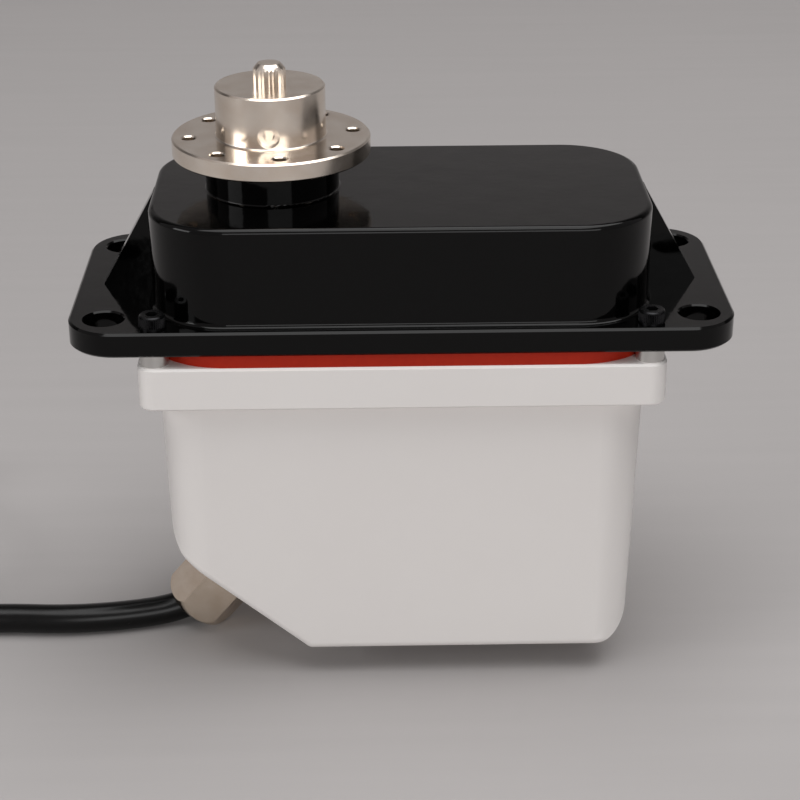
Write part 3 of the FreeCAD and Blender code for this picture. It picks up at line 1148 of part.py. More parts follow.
def wire_tube(points, diameter, report=""):
    """Round tube along straight runs joined by tangent arcs; each arc is as large as its runs allow."""
    edges, radii = [], []
    cursor = points[0]
    for before, at, after in zip(points, points[1:], points[2:]):
        incoming, outgoing = at - before, after - at
        half = incoming.getAngle(outgoing) / 2
        reach = 0.45 * min(incoming.Length, outgoing.Length)
        radius = reach / math.tan(half)
        radii.append(radius)
        first = at - incoming.normalize() * reach
        last = at + outgoing.normalize() * reach
        centre = at + ((first - at) + (last - at)).normalize() * (radius / math.cos(half))
        middle = centre + (at - centre).normalize() * radius
        edges.append(Part.LineSegment(cursor, first).toShape())
        edges.append(Part.Arc(first, middle, last).toShape())
        cursor = last
    edges.append(Part.LineSegment(cursor, points[-1]).toShape())
    path = Part.Wire(edges)
    circle = Part.makeCircle(diameter / 2, points[0], points[1] - points[0])
    tube = path.makePipeShell([Part.Wire(circle)], True, False)
    expected = path.Length * math.pi * diameter ** 2 / 4
    if report:
        print(f"{report}: length {path.Length:.1f} volume ratio {tube.Volume / expected:.4f}")
        print("radii in diameters:", [round(radius / diameter, 1) for radius in radii])
    return tube


def build_wiring():
    end = gland_place(CASE_Z).multVec(V(0, 0, -CASE_WALL - CABLE_ENTRY))
    cores = []
    for k in (-1, 0, 1):
        start = end + V(0, CORE_PITCH_AT_GLAND * k, 0)
        target = V(BOARD_LEFT - POWER_SOCKET_DEPTH, POWER_SOCKET_Y + CORE_PITCH_AT_SOCKET * k,
                   BOARD_Z + POWER_SOCKET_RISE + POWER_SOCKET_HEIGHT / 2)
        route = [start, start - GLAND_AXIS * CORE_RUN, target - V(CORE_SOCKET_RUN, 0, 0), target]
        cores.append(wire_tube(route, CORE_DIAMETER))
    save("cable_cores", group(cores))
    x, y = MOTOR_AXIS
    leads = []
    for side in (-1, 1):
        lead_y = y + side * TERMINAL_SPAN / 2
        start = V(x - TERMINAL_WIDTH / 2, lead_y, MOTOR_FOOT - TERMINAL_PROUD + LEAD_ON_BLADE)
        target = V(BOARD_RIGHT, lead_y, BOARD_Z + LEAD_RISE)
        route = [start, start - V(LEAD_RUN, 0, 0), target + V(LEAD_RUN, 0, 0), target]
        leads.append(wire_tube(route, LEAD_DIAMETER))
    save("motor_leads", group(leads))
    start = V(OUTPUT_X, SENSOR_SOCKET_OFFSET, SENSOR_BOARD_Z - SENSOR_SOCKET_HEIGHT)
    target = V(BOARD_LEFT - SIGNAL_SOCKET_DEPTH, SIGNAL_SOCKET_Y,
               BOARD_Z + SIGNAL_SOCKET_RISE + SIGNAL_SOCKET_HEIGHT / 2)
    route = [start, start - V(0, 0, SENSOR_LEAD_DROP), target - V(SENSOR_LEAD_RUN, 0, 0), target]
    save("sensor_lead", wire_tube(route, SENSOR_LEAD_DIAMETER))


# ================================================================ gland, cable, coil and connector
def build_gland():
    place = gland_place(CASE_Z)
    washer = ring(GLAND_FLATS - 2 * GLAND_WASHER_INSET, GLAND_THREAD + 2 * FIT, 0, GLAND_WASHER)
    save("gland_washer", placed(washer, place))
    corner = GLAND_FLATS / 2 / math.cos(math.pi / 6)
    top = NUT_FOOT - GLAND_SPLIT
    bevel = GLAND_CORNER_BEVEL
    turned = revolve_profile([(0, GLAND_WASHER), (corner - bevel, GLAND_WASHER),
                              (corner, GLAND_WASHER + bevel), (corner, top - bevel),
                              (corner - bevel, top), (0, top)])
    neck = GLAND_FLATS - 2 * GLAND_NUT_WALL
    body = fuse([hexagon(GLAND_FLATS, GLAND_WASHER, top).common(turned),
                 cylinder(GLAND_THREAD, -CASE_WALL - GLAND_TAIL, GLAND_WASHER),
                 cylinder(neck - 2 * SCREW_CLEARANCE, top - OVERCUT, NUT_FOOT + GLAND_NECK)])
    body = body.cut(cylinder(CABLE_BORE, -GLAND_REACH - OVERCUT, GLAND_REACH))
    body = body.cut(cylinder(CABLE_BORE + 2 * INSERT_WALL, NUT_FOOT - INSERT_SEAT - PIN_END_GAP, GLAND_REACH))
    save("gland_body", placed(body, place))
    nut = gland_nut_form().cut(cylinder(neck, NUT_FOOT - OVERCUT, NUT_FOOT + GLAND_NECK + GLAND_NECK_GAP))
    bore = CABLE_BORE / 2 + CABLE_BORE_GAP
    half_mouth = GLAND_MOUTH / 2
    outside = GLAND_REACH + OVERCUT
    mouth = revolve_profile([(0, NUT_FOOT), (bore, NUT_FOOT), (bore, NUT_FOOT + GLAND_NECK),
                             (half_mouth, GLAND_REACH - GLAND_MOUTH_DEPTH),
                             (half_mouth, outside), (0, outside)])
    save("gland_nut", placed(nut.cut(mouth), place))
    insert = ring(CABLE_BORE + 2 * INSERT_WALL - 2 * CABLE_BORE_GAP, CABLE_DIAMETER,
                  NUT_FOOT - INSERT_SEAT, NUT_FOOT + INSERT_REACH)
    save("gland_insert", placed(insert, place))
    save("cable_entry", placed(cylinder(CABLE_DIAMETER, -CASE_WALL - CABLE_ENTRY, CABLE_START), place))


def coil_layer(z0, z1):
    """One turn of the coil as a ring with bevelled rims."""
    outer = COIL_RADIUS + CABLE_DIAMETER / 2 + COIL_SLACK
    inner = COIL_RADIUS - CABLE_DIAMETER / 2 - COIL_SLACK
    layer = ring(2 * outer, 2 * inner, z0, z1, *COIL_CENTRE)
    rims = [circles_at(layer, z, 2 * r) for z in (z0, z1) for r in (outer, inner)]
    return layer.makeChamfer(COIL_BEVEL, sum(rims, []))


def build_cable():
    place = gland_place(CASE_Z)
    radius = CABLE_DIAMETER / 2
    lying = radius + CABLE_LIFT
    start = place.multVec(V(0, 0, CABLE_START))
    bend = place.multVec(V(0, 0, GLAND_REACH - CABLE_BEND_BACK))
    landing = V(bend.x - (bend.z - lying) / math.tan(math.radians(CABLE_DESCENT)), CABLE_LANDING_Y, lying)
    coil_x, coil_y = COIL_CENTRE
    end = V(coil_x + COIL_LEAD, coil_y - COIL_RADIUS, lying)
    runs = len(CABLE_DRIFT) + 1
    floor_run = [V(landing.x + (end.x - landing.x) * k / runs, end.y + drift, lying)
                 for k, drift in enumerate(CABLE_DRIFT, 1)]
    save("cable", wire_tube([start, bend, landing] + floor_run + [end], CABLE_DIAMETER, "cable"))

    # the coil: a full turn on the floor, part of a second turn on it, and the run into the connector
    seam = lying + radius + CABLE_LIFT
    upper = seam + radius - CABLE_LIFT
    top = upper + radius + CABLE_LIFT
    reach = 2 * COIL_RADIUS
    first_x, last_x, far_x = coil_x + COIL_UPPER_START, coil_x - COIL_UPPER_END, coil_x + reach
    upper_turn = coil_layer(seam, top)
    upper_turn = upper_turn.cut(block(first_x, far_x, coil_y - reach, coil_y, seam, top))
    upper_turn = upper_turn.cut(block(last_x, far_x, coil_y, coil_y + reach, seam, top))
    plug_x = coil_x - CONNECTOR_LENGTH / 2
    plug_y = coil_y + COIL_RADIUS
    lead_in = Part.makeCylinder(radius, COIL_LEAD, V(coil_x, end.y, lying), V(1, 0, 0))
    lead_out = Part.makeCylinder(radius, COIL_OUT_LEAD, V(plug_x, plug_y, upper), V(-1, 0, 0))
    save("cable_coil", fuse([coil_layer(0, seam), upper_turn, lead_in, lead_out]))

    # connector, lying on the lower turn with its ports facing away from the cable
    middle_z = seam + CONNECTOR_HEIGHT / 2
    shell = slab(coil_x, plug_y, CONNECTOR_LENGTH, CONNECTOR_WIDTH, seam, seam + CONNECTOR_HEIGHT)
    shell = shell.makeChamfer(CONNECTOR_EDGE, shell.Edges)
    half = CONNECTOR_PORT / 2
    port_x = plug_x + CONNECTOR_LENGTH - CONNECTOR_PORT_DEPTH
    for k in (-1, 0, 1):
        port_y = plug_y + k * CONNECTOR_PITCH
        shell = shell.cut(block(port_x, port_x + 2 * CONNECTOR_PORT_DEPTH, port_y - half, port_y + half,
                                middle_z - half, middle_z + half))
    save("connector", shell)


build_case()
build_gasket()
build_cover()
build_cover_screws()
build_mid_plate()
build_gears()
build_shaft()
build_hub()
build_shaft_support()
build_motor()
build_sensor()
build_board()
build_wiring()
build_gland()
build_cable()
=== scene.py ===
"""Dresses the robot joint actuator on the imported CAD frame: finishes, cable, plug, seal lip, screw knurls."""
import json
import math

import bmesh
import bpy
from mathutils import Matrix, Vector


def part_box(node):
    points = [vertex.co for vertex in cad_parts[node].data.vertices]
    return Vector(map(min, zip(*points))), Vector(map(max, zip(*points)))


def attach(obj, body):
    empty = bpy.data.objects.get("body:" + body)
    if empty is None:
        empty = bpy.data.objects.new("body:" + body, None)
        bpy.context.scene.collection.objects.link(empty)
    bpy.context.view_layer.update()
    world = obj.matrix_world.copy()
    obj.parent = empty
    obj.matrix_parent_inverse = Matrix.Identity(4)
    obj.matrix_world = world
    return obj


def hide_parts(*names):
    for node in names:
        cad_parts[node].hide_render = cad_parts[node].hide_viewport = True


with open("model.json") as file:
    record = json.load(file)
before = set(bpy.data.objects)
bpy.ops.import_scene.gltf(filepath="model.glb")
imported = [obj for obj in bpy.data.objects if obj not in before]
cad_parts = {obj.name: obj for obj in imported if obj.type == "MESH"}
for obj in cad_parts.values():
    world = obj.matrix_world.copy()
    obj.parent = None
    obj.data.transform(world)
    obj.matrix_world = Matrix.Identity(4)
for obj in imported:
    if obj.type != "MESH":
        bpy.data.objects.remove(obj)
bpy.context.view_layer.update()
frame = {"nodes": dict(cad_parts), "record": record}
MM = 0.001

# ---------------------------------------------------------------- camera
CAMERA_PLACE = Vector((-6.09, -346.15, 209.70)) * MM
CAMERA_PITCH = math.radians(24.953)
CAMERA_YAW = math.radians(0.990)
CAMERA_ROLL = math.radians(-0.256)
# focal length over the width of the sensor
FOCAL_SHARE = 1971.1 / 800


def make_camera():
    """Camera of the main view, turned by its pitch, yaw and roll."""
    forward = Vector((math.sin(CAMERA_YAW) * math.cos(CAMERA_PITCH),
                      math.cos(CAMERA_YAW) * math.cos(CAMERA_PITCH), -math.sin(CAMERA_PITCH)))
    level = Vector((math.cos(CAMERA_YAW), -math.sin(CAMERA_YAW), 0))
    up = level.cross(forward)
    right = level * math.cos(CAMERA_ROLL) + up * math.sin(CAMERA_ROLL)
    up = up * math.cos(CAMERA_ROLL) - level * math.sin(CAMERA_ROLL)
    data = bpy.data.cameras.new("camera")
    data.sensor_width = 36
    data.lens = data.sensor_width * FOCAL_SHARE
    data.clip_start = 0.01
    camera = bpy.data.objects.new("camera", data)
    turn = Matrix((right, up, -forward)).transposed()
    camera.matrix_world = Matrix.Translation(CAMERA_PLACE) @ turn.to_4x4()
    bpy.context.scene.collection.objects.link(camera)
    bpy.context.scene.camera = camera


make_camera()


# ---------------------------------------------------------------- small helpers
def srgb(code):
    """Linear RGBA from an sRGB hex value."""
    channels = [int(code[i:i + 2], 16) / 255 for i in (1, 3, 5)]
    linear = [c / 12.92 if c <= 0.04045 else ((c + 0.055) / 1.055) ** 2.4 for c in channels]
    return (*linear, 1.0)


def add(tree, kind, inputs=None, **settings):
    """Adds a node; a value that is a socket is linked, anything else is set."""
    node = tree.nodes.new(kind)
    for name, value in settings.items():
        setattr(node, name, value)
    for name, value in (inputs or {}).items():
        if isinstance(value, bpy.types.NodeSocket):
            tree.links.new(value, node.inputs[name])
        else:
            node.inputs[name].default_value = value
    return node


def new_material(name, **values):
    """Material with one Principled shader, whose values are set on its own sockets."""
    material = bpy.data.materials.new(name)
    material.use_nodes = True
    tree = material.node_tree
    shader = tree.nodes["Principled BSDF"]
    for socket, value in values.items():
        shader.inputs[socket.replace("_", " ")].default_value = value
    return material, tree, shader


def place(tree):
    """Place on the object, in metres, for a pattern to start from."""
    return add(tree, "ShaderNodeTexCoord").outputs["Object"]


# ---------------------------------------------------------------- finishes
CASE_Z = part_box("lower_case")[0].z
CASE_HEIGHT = 61.3 * MM
RIM_TOP = CASE_Z + CASE_HEIGHT
# the wave texture draws one line in this much of its own length
WAVE_LINE = 2 * math.pi / 20


def per_mm(size):
    """Texture scale at which one feature is about size millimetres long."""
    return 1 / (size * MM)


def lines_per_mm(pitch):
    """Scale at which the wave texture draws its lines pitch millimetres apart."""
    return WAVE_LINE * per_mm(pitch)


def bump_from(tree, shader, height, micrometres, strength=1.0):
    """Relief of the given height under the shader."""
    relief = {"Height": height, "Strength": strength, "Distance": micrometres * 1e-6}
    bump = add(tree, "ShaderNodeBump", relief)
    tree.links.new(bump.outputs["Normal"], shader.inputs["Normal"])


def vary(tree, shader, shade, colours, roughness):
    """Lets a pattern between 0 and 1 lead the colour between two hex values, and the roughness with it."""
    mix = add(tree, "ShaderNodeMix", {0: shade, 6: srgb(colours[0]), 7: srgb(colours[1])}, data_type="RGBA")
    tree.links.new(mix.outputs[2], shader.inputs["Base Color"])
    low, high = roughness
    range_ = add(tree, "ShaderNodeMapRange", {"Value": shade, "To Min": low, "To Max": high})
    tree.links.new(range_.outputs[0], shader.inputs["Roughness"])


def grained(name, colours, grain, roughness, relief=0.0, stretch=(1, 1, 1), **values):
    """A finish led by one noise; the grain is in millimetres and the relief in micrometres."""
    material, tree, shader = new_material(name, **values)
    where = add(tree, "ShaderNodeMapping", {"Vector": place(tree), "Scale": stretch}).outputs[0]
    noise = add(tree, "ShaderNodeTexNoise", {"Vector": where, "Scale": per_mm(grain), "Detail": 3.0})
    vary(tree, shader, noise.outputs["Fac"], colours, roughness)
    if relief:
        bump_from(tree, shader, noise.outputs["Fac"], relief)
    return material


def banded(name, colours, pitch, roughness, relief, direction, kind="BANDS", **values):
    """A finish with even lines, such as ground rings, mill marks, stacked sheets or wound wire; the pitch is
    in millimetres."""
    material, tree, shader = new_material(name, **values)
    settings = {"bands_direction": direction} if kind == "BANDS" else {"rings_direction": direction}
    lines = {"Vector": place(tree), "Scale": lines_per_mm(pitch), "Distortion": 0.4, "Detail": 1.0}
    wave = add(tree, "ShaderNodeTexWave", lines, wave_type=kind, **settings)
    vary(tree, shader, wave.outputs["Fac"], colours, roughness)
    bump_from(tree, shader, wave.outputs["Fac"], relief)
    return material


def powder_coat():
    """Polyester powder coat, baked white on cast aluminium: satin, with a soft flow texture. The screw posts
    above the rim are milled bare and look like bright grey metal."""
    material, tree, shader = new_material("powder_coated_cast_aluminium", IOR=1.5)
    where = place(tree)
    cloud = add(tree, "ShaderNodeTexNoise", {"Vector": where, "Scale": per_mm(30), "Detail": 3.0})
    shades = {0: cloud.outputs["Fac"], 6: srgb("#EEE9E6"), 7: srgb("#F3EFEC")}
    tint = add(tree, "ShaderNodeMix", shades, data_type="RGBA")
    height = add(tree, "ShaderNodeSeparateXYZ", {"Vector": where}).outputs["Z"]
    above = add(tree, "ShaderNodeMath", {0: height, 1: RIM_TOP + 0.05 * MM}, operation="GREATER_THAN")
    bare = above.outputs[0]
    colour = add(tree, "ShaderNodeMix", {0: bare, 6: tint.outputs[2], 7: srgb("#CBC9C6")}, data_type="RGBA")
    tree.links.new(colour.outputs[2], shader.inputs["Base Color"])
    tree.links.new(bare, shader.inputs["Metallic"])
    rough = add(tree, "ShaderNodeMix", {0: bare, 2: 0.42, 3: 0.3})
    tree.links.new(rough.outputs[0], shader.inputs["Roughness"])
    # flow texture of 1.2 mm, a few micrometres high
    flow = add(tree, "ShaderNodeTexNoise", {"Vector": where, "Scale": per_mm(1.2), "Detail": 1.5})
    bump_from(tree, shader, flow.outputs["Fac"], 30, 0.2)
    return material


def black_enamel():
    """Stoved black enamel on the cast cover: deep and mirror-like, with long orange-peel waves that wrinkle
    what it reflects."""
    material, tree, shader = new_material("stoved_black_enamel", IOR=1.5, Specular_IOR_Level=0.2,
                                          Base_Color=srgb("#020202"))
    where = place(tree)
    # orange peel of 1.8 mm over waves of 6 mm
    peel = add(tree, "ShaderNodeTexNoise", {"Vector": where, "Scale": per_mm(1.8), "Detail": 1.0})
    swell = add(tree, "ShaderNodeTexNoise", {"Vector": where, "Scale": per_mm(6), "Detail": 0.0})
    both = add(tree, "ShaderNodeMath", {0: swell.outputs["Fac"], 1: 3.0, 2: peel.outputs["Fac"]},
               operation="MULTIPLY_ADD")
    bump_from(tree, shader, both.outputs[0], 30, 0.4)
    haze = add(tree, "ShaderNodeMapRange", {"Value": peel.outputs["Fac"], "To Min": 0.05, "To Max": 0.12})
    tree.links.new(haze.outputs[0], shader.inputs["Roughness"])
    return material


def silicone_seal():
    """Moulded silicone rubber, red: dull, with light going a little way into it."""
    material, tree, shader = new_material("red_silicone_rubber", IOR=1.41, Specular_IOR_Level=0.3,
                                          Subsurface_Weight=0.12, Subsurface_Scale=0.001)
    grain = add(tree, "ShaderNodeTexNoise", {"Vector": place(tree), "Scale": per_mm(1.1), "Detail": 2.0})
    vary(tree, shader, grain.outputs["Fac"], ("#A61F08", "#B4280C"), (0.42, 0.55))
    bump_from(tree, shader, grain.outputs["Fac"], 25, 0.3)
    return material


def nickel_plate(name, centre, pitch, colours, roughness):
    """Nickel plate over turned metal: a warm bright mirror, clouded a little, with fine tool rings."""
    material, tree, shader = new_material(name, Metallic=1.0)
    cloud = add(tree, "ShaderNodeTexNoise", {"Vector": place(tree), "Scale": per_mm(4), "Detail": 4.0})
    middle = {"Value": cloud.outputs["Fac"], "From Min": 0.25, "From Max": 0.75}
    clear = add(tree, "ShaderNodeMapRange", middle)
    vary(tree, shader, clear.outputs[0], colours, roughness)
    centred = add(tree, "ShaderNodeMapping", {"Vector": place(tree), "Location": [-c for c in centre]})
    lines = {"Vector": centred.outputs[0], "Scale": lines_per_mm(pitch), "Distortion": 0.6}
    rings = add(tree, "ShaderNodeTexWave", lines, wave_type="RINGS", rings_direction="Z")
    bump_from(tree, shader, rings.outputs["Fac"], 2, 0.5)
    return material


def cable_jacket():
    """Extruded PVC jacket, black: an even gloss, with faint ripples from the extruder."""
    material, tree, shader = new_material("pvc_cable_jacket", IOR=1.53, Specular_IOR_Level=0.22)
    ripple = add(tree, "ShaderNodeTexNoise", {"Vector": place(tree), "Scale": per_mm(1.5), "Detail": 2.0})
    vary(tree, shader, ripple.outputs["Fac"], ("#050505", "#080808"), (0.2, 0.3))
    bump_from(tree, shader, ripple.outputs["Fac"], 20, 0.3)
    return material


def board_laminate():
    """Glass and epoxy laminate under green solder mask: glossy, with the glass cloth's 0.6 mm weave faintly
    showing and paler lines where copper lies under the mask."""
    material, tree, shader = new_material("solder_masked_laminate", IOR=1.55,
                                          Coat_Weight=0.4, Coat_Roughness=0.1)
    where = place(tree)
    tracks = add(tree, "ShaderNodeTexBrick", {"Vector": where, "Scale": per_mm(1), "Mortar Size": 0.16,
                                              "Brick Width": 3.0, "Row Height": 1.3, "Color1": (0, 0, 0, 1),
                                              "Color2": (0, 0, 0, 1), "Mortar": (1, 1, 1, 1)})
    vary(tree, shader, tracks.outputs["Fac"], ("#12462A", "#2A6E45"), (0.32, 0.26))
    weave = add(tree, "ShaderNodeTexWave", {"Vector": where, "Scale": lines_per_mm(0.6)})
    bump_from(tree, shader, weave.outputs["Fac"], 8, 0.4)
    return material


def middle_of(node):
    """Middle of a node's box, where the rings of its turned metal have their centre."""
    low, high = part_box(node)
    return (low + high) / 2


JACKET = cable_jacket()
PLUG_NYLON = grained("moulded_nylon_66", ("#101010", "#191919"), 0.5, (0.38, 0.52), relief=12, IOR=1.53)
BLACK_OXIDE = grained("black_oxide_steel", ("#1A1A1B", "#2B2B2D"), 0.8, (0.22, 0.34), relief=3, Metallic=0.85)
GOLD_FLASH = grained("gold_flashed_bronze", ("#C9A24E", "#DDBB6C"), 0.7, (0.16, 0.28), Metallic=1.0)
NITRILE = grained("nitrile_rubber", ("#0E0E0E", "#171717"), 0.6, (0.45, 0.6), relief=15, IOR=1.52)
ZINC = grained("zinc_plated_steel", ("#BFC1C2", "#D0D1D0"), 1.5, (0.2, 0.34), relief=2, Metallic=1.0)
FINISHES = {
    "case_paint": powder_coat(),
    "cover_black": black_enamel(),
    "seal_red": silicone_seal(),
    "seal_black": NITRILE,
    "nickel": nickel_plate("nickel_plated_turned_steel", middle_of("output_hub"), 0.35,
                           ("#E0D2C3", "#ECE3D8"), (0.16, 0.28)),
    # hobbed and hardened: grey with a fine oiled grain
    "steel": grained("case_hardened_steel", ("#A9A7A4", "#BEBBB7"), 0.9, (0.22, 0.38), relief=4,
                     Metallic=1.0),
    # ground to size: nearly a mirror, with close rings
    "bearing_steel": banded("ground_bearing_steel", ("#C4C3C1", "#D2D1CF"), 0.3, (0.1, 0.18), 1, "Z", "RINGS",
                            Metallic=1.0),
    "brass": grained("drawn_brass", ("#C9A257", "#D8B46A"), 1.2, (0.2, 0.32), relief=3, Metallic=1.0),
    "copper": banded("enamelled_copper_wire", ("#8E4522", "#C97543"), 0.5, (0.22, 0.3), 120, "Z",
                     Metallic=1.0, Coat_Weight=0.6),
    # milled flat: bright, with straight cutter marks
    "plate_metal": banded("milled_aluminium", ("#C6C8CA", "#D6D7D9"), 0.6, (0.24, 0.34), 4, "X",
                          Metallic=1.0),
    "motor_steel": grained("drawn_steel_can", ("#B6B5B2", "#C9C8C5"), 0.5, (0.24, 0.36), relief=3,
                           stretch=(1, 1, 0.08), Metallic=1.0),
    # sheets of 0.5 mm pressed together, each edge a line
    "laminations": banded("stacked_silicon_steel", ("#6E6D6B", "#9B9A97"), 0.5, (0.3, 0.45), 30, "Z",
                          Metallic=1.0),
    "ferrite": grained("sintered_ferrite", ("#2C2A29", "#3B3937"), 0.4, (0.5, 0.7), relief=20, IOR=2.3),
    "magnet_nickel": grained("nickel_plated_magnet", ("#C8C2BA", "#D8D3CC"), 1.0, (0.12, 0.2), Metallic=1.0),
    "carbon": grained("pressed_carbon", ("#1F1F21", "#2E2E31"), 0.3, (0.4, 0.6), relief=15, Metallic=0.3),
    "board_green": board_laminate(),
    "chip_black": grained("moulded_epoxy", ("#161617", "#202022"), 0.3, (0.42, 0.58), relief=8, IOR=1.55),
    "socket_white": grained("moulded_polyester", ("#DDD8CB", "#E9E5DA"), 1.5, (0.35, 0.48), relief=8,
                            IOR=1.57),
    "wire_red": grained("pvc_wire_insulation", ("#8E1512", "#A81C17"), 0.8, (0.3, 0.42), relief=8, IOR=1.53),
    "cable_black": JACKET,
    "plug_black": PLUG_NYLON,
    "aluminium_sleeve": grained("drawn_aluminium_can", ("#B9BCC0", "#CBCDD0"), 0.5, (0.22, 0.34), relief=2,
                                stretch=(0.08, 1, 1), Metallic=1.0),
}
OWN_FINISH = {
    "cover_screws": BLACK_OXIDE,
    "mid_plate_screws": ZINC,
    "motor_screws": ZINC,
    "sensor_screws": ZINC,
    "hub_set_screw": FINISHES["nickel"],
    "gland_body": nickel_plate("nickel_plated_brass", middle_of("gland_nut"), 0.5,
                               ("#D6C5B1", "#E6D9C9"), (0.1, 0.22)),
    # bare copper, turned true: clean rings where the brushes run
    "motor_commutator": banded("turned_copper", ("#C0734B", "#D08A62"), 0.25, (0.2, 0.3), 3, "Z",
                               Metallic=1.0),
    "motor_end_cap": grained("glass_filled_nylon", ("#191918", "#262524"), 0.6, (0.45, 0.6), relief=14,
                             IOR=1.54),
}
OWN_FINISH["gland_nut"] = OWN_FINISH["gland_body"]


def dress_nodes():
    """Gives every CAD node its own finish, or else that of its slot."""
    for sub in frame["record"]["subparts"]:
        data = frame["nodes"][sub["node"]].data
        data.materials.clear()
        data.materials.append(OWN_FINISH.get(sub["node"], FINISHES[sub["material_slot"]]))


dress_nodes()


# ---------------------------------------------------------------- cable
CABLE = 5.8 * MM
CABLE_GRIP = CABLE / 2 - 0.05 * MM
LYING = CABLE / 2 + 0.1 * MM
UPPER = LYING + CABLE
COIL_CENTRE = Vector((-121, 25, 0)) * MM
COIL_RADIUS = 29 * MM
COIL_LEAD = 20 * MM
TURN_POINTS = 16
COIL_POINTS = 20
PLUG_MOUTH = COIL_CENTRE + Vector((-9.5, 29, 9.2)) * MM
PLUG_BEND = 24 * MM
PLUG_BEND_DEGREES = (170, 150, 130, 112)
PLUG_BEND_OUTSIDE = 1.008
# the case's sloped corner starts at SLOPE_X on its lower face, and the gland stands square on it
SLOPE = math.radians(40)
SLOPE_X = -18.1 * MM
GLAND_ALONG = 17.0 * MM
GLAND_REACH = 17.0 * MM
GLAND_AXIS = Vector((-math.sin(SLOPE), 0, -math.cos(SLOPE)))
GLAND_FOOT = Vector((SLOPE_X, 0, CASE_Z)) + Vector((-math.cos(SLOPE), 0, math.sin(SLOPE))) * GLAND_ALONG
CABLE_START = 7.8 * MM
CABLE_BEND = GLAND_REACH - 2.6 * MM
CABLE_FALL = math.radians(25)
LANDING_Y = -0.9 * MM
FLOOR_DRIFT = (0.4, -0.5, 0.4, 0.0)
# share of the coil's first turn after which the cable climbs, and the share that the climb takes
CLIMB_AFTER = 0.62
CLIMB_SHARE = 0.31


def cable_route():
    """Control points of the cable's line: out of the gland, down to the floor, along it to the left, then a
    flat coil with the plug lying on it."""
    start = GLAND_FOOT + GLAND_AXIS * CABLE_START
    bend = GLAND_FOOT + GLAND_AXIS * CABLE_BEND
    landing = Vector((bend.x - (bend.z - LYING) / math.tan(CABLE_FALL), LANDING_Y, LYING))
    end = Vector((COIL_CENTRE.x + COIL_LEAD, COIL_CENTRE.y - COIL_RADIUS, LYING))
    runs = len(FLOOR_DRIFT) + 1
    points = [start, bend, landing]
    for k, aside in enumerate(FLOOR_DRIFT, 1):
        points.append(Vector((landing.x + (end.x - landing.x) * k / runs, end.y + aside * MM, LYING)))
    points.append(end)
    # a turn on the floor, a slow climb near its end, then on top of itself; the curve runs a little inside
    # its control points
    step = 2 * math.pi / TURN_POINTS
    reach = COIL_RADIUS / math.cos(step / 2) ** 0.5
    for k in range(1, COIL_POINTS + 1):
        angle = -math.pi / 2 - step * (k - 0.5)
        rise = min(1.0, max(0.0, (k / TURN_POINTS - CLIMB_AFTER) / CLIMB_SHARE))
        height = LYING + CABLE * rise * rise * (3 - 2 * rise)
        points.append(COIL_CENTRE + Vector((reach * math.cos(angle), reach * math.sin(angle), height)))
    # a wide bend off the coil into the plug, which it enters a little askew
    entry = math.asin(1 - (PLUG_MOUTH.x - COIL_CENTRE.x + COIL_RADIUS) / PLUG_BEND)
    centre = PLUG_MOUTH - Vector((-math.sin(entry), math.cos(entry), 0)) * PLUG_BEND
    for degrees in PLUG_BEND_DEGREES:
        angle = math.radians(degrees)
        points.append(centre + Vector((math.cos(angle), math.sin(angle), 0)) * PLUG_BEND * PLUG_BEND_OUTSIDE)
        points[-1].z = UPPER
    points.append(PLUG_MOUTH)
    return points


def make_cable():
    """The cable as a round cord along its route; it stands for the CAD cable and its coil."""
    curve = bpy.data.curves.new("cable_line", "CURVE")
    curve.dimensions = "3D"
    curve.resolution_u = 10
    curve.bevel_depth = CABLE / 2
    curve.bevel_resolution = 6
    curve.use_fill_caps = True
    spline = curve.splines.new("NURBS")
    route = cable_route()
    spline.points.add(len(route) - 1)
    for point, at in zip(spline.points, route):
        point.co = (*at, 1.0)
    spline.order_u = 3
    spline.use_endpoint_u = True
    cable = bpy.data.objects.new("cable_line", curve)
    bpy.context.scene.collection.objects.link(cable)
    curve.materials.append(JACKET)
    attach(cable, "base")
    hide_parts("cable", "cable_coil")
    return cable, route[0]


cable, cable_exit = make_cable()


# ---------------------------------------------------------------- plug, seal lip, screw knurls
def finish_piece(name, form, material, slot, *replaced):
    """Turns a bmesh into a piece of the base with one finish."""
    bmesh.ops.remove_doubles(form, verts=form.verts, dist=1e-7)
    bmesh.ops.recalc_face_normals(form, faces=form.faces)
    mesh = bpy.data.meshes.new(name)
    form.to_mesh(mesh)
    form.free()
    return place_piece(name, mesh, material, slot, *replaced)


def place_piece(name, mesh, material, slot, *replaced):
    """Puts a mesh into the scene as a piece that stays with the base."""
    mesh.materials.clear()
    mesh.materials.append(material)
    piece = bpy.data.objects.new(name, mesh)
    bpy.context.scene.collection.objects.link(piece)
    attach(piece, "base")
    if replaced:
        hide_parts(*replaced)
    return piece


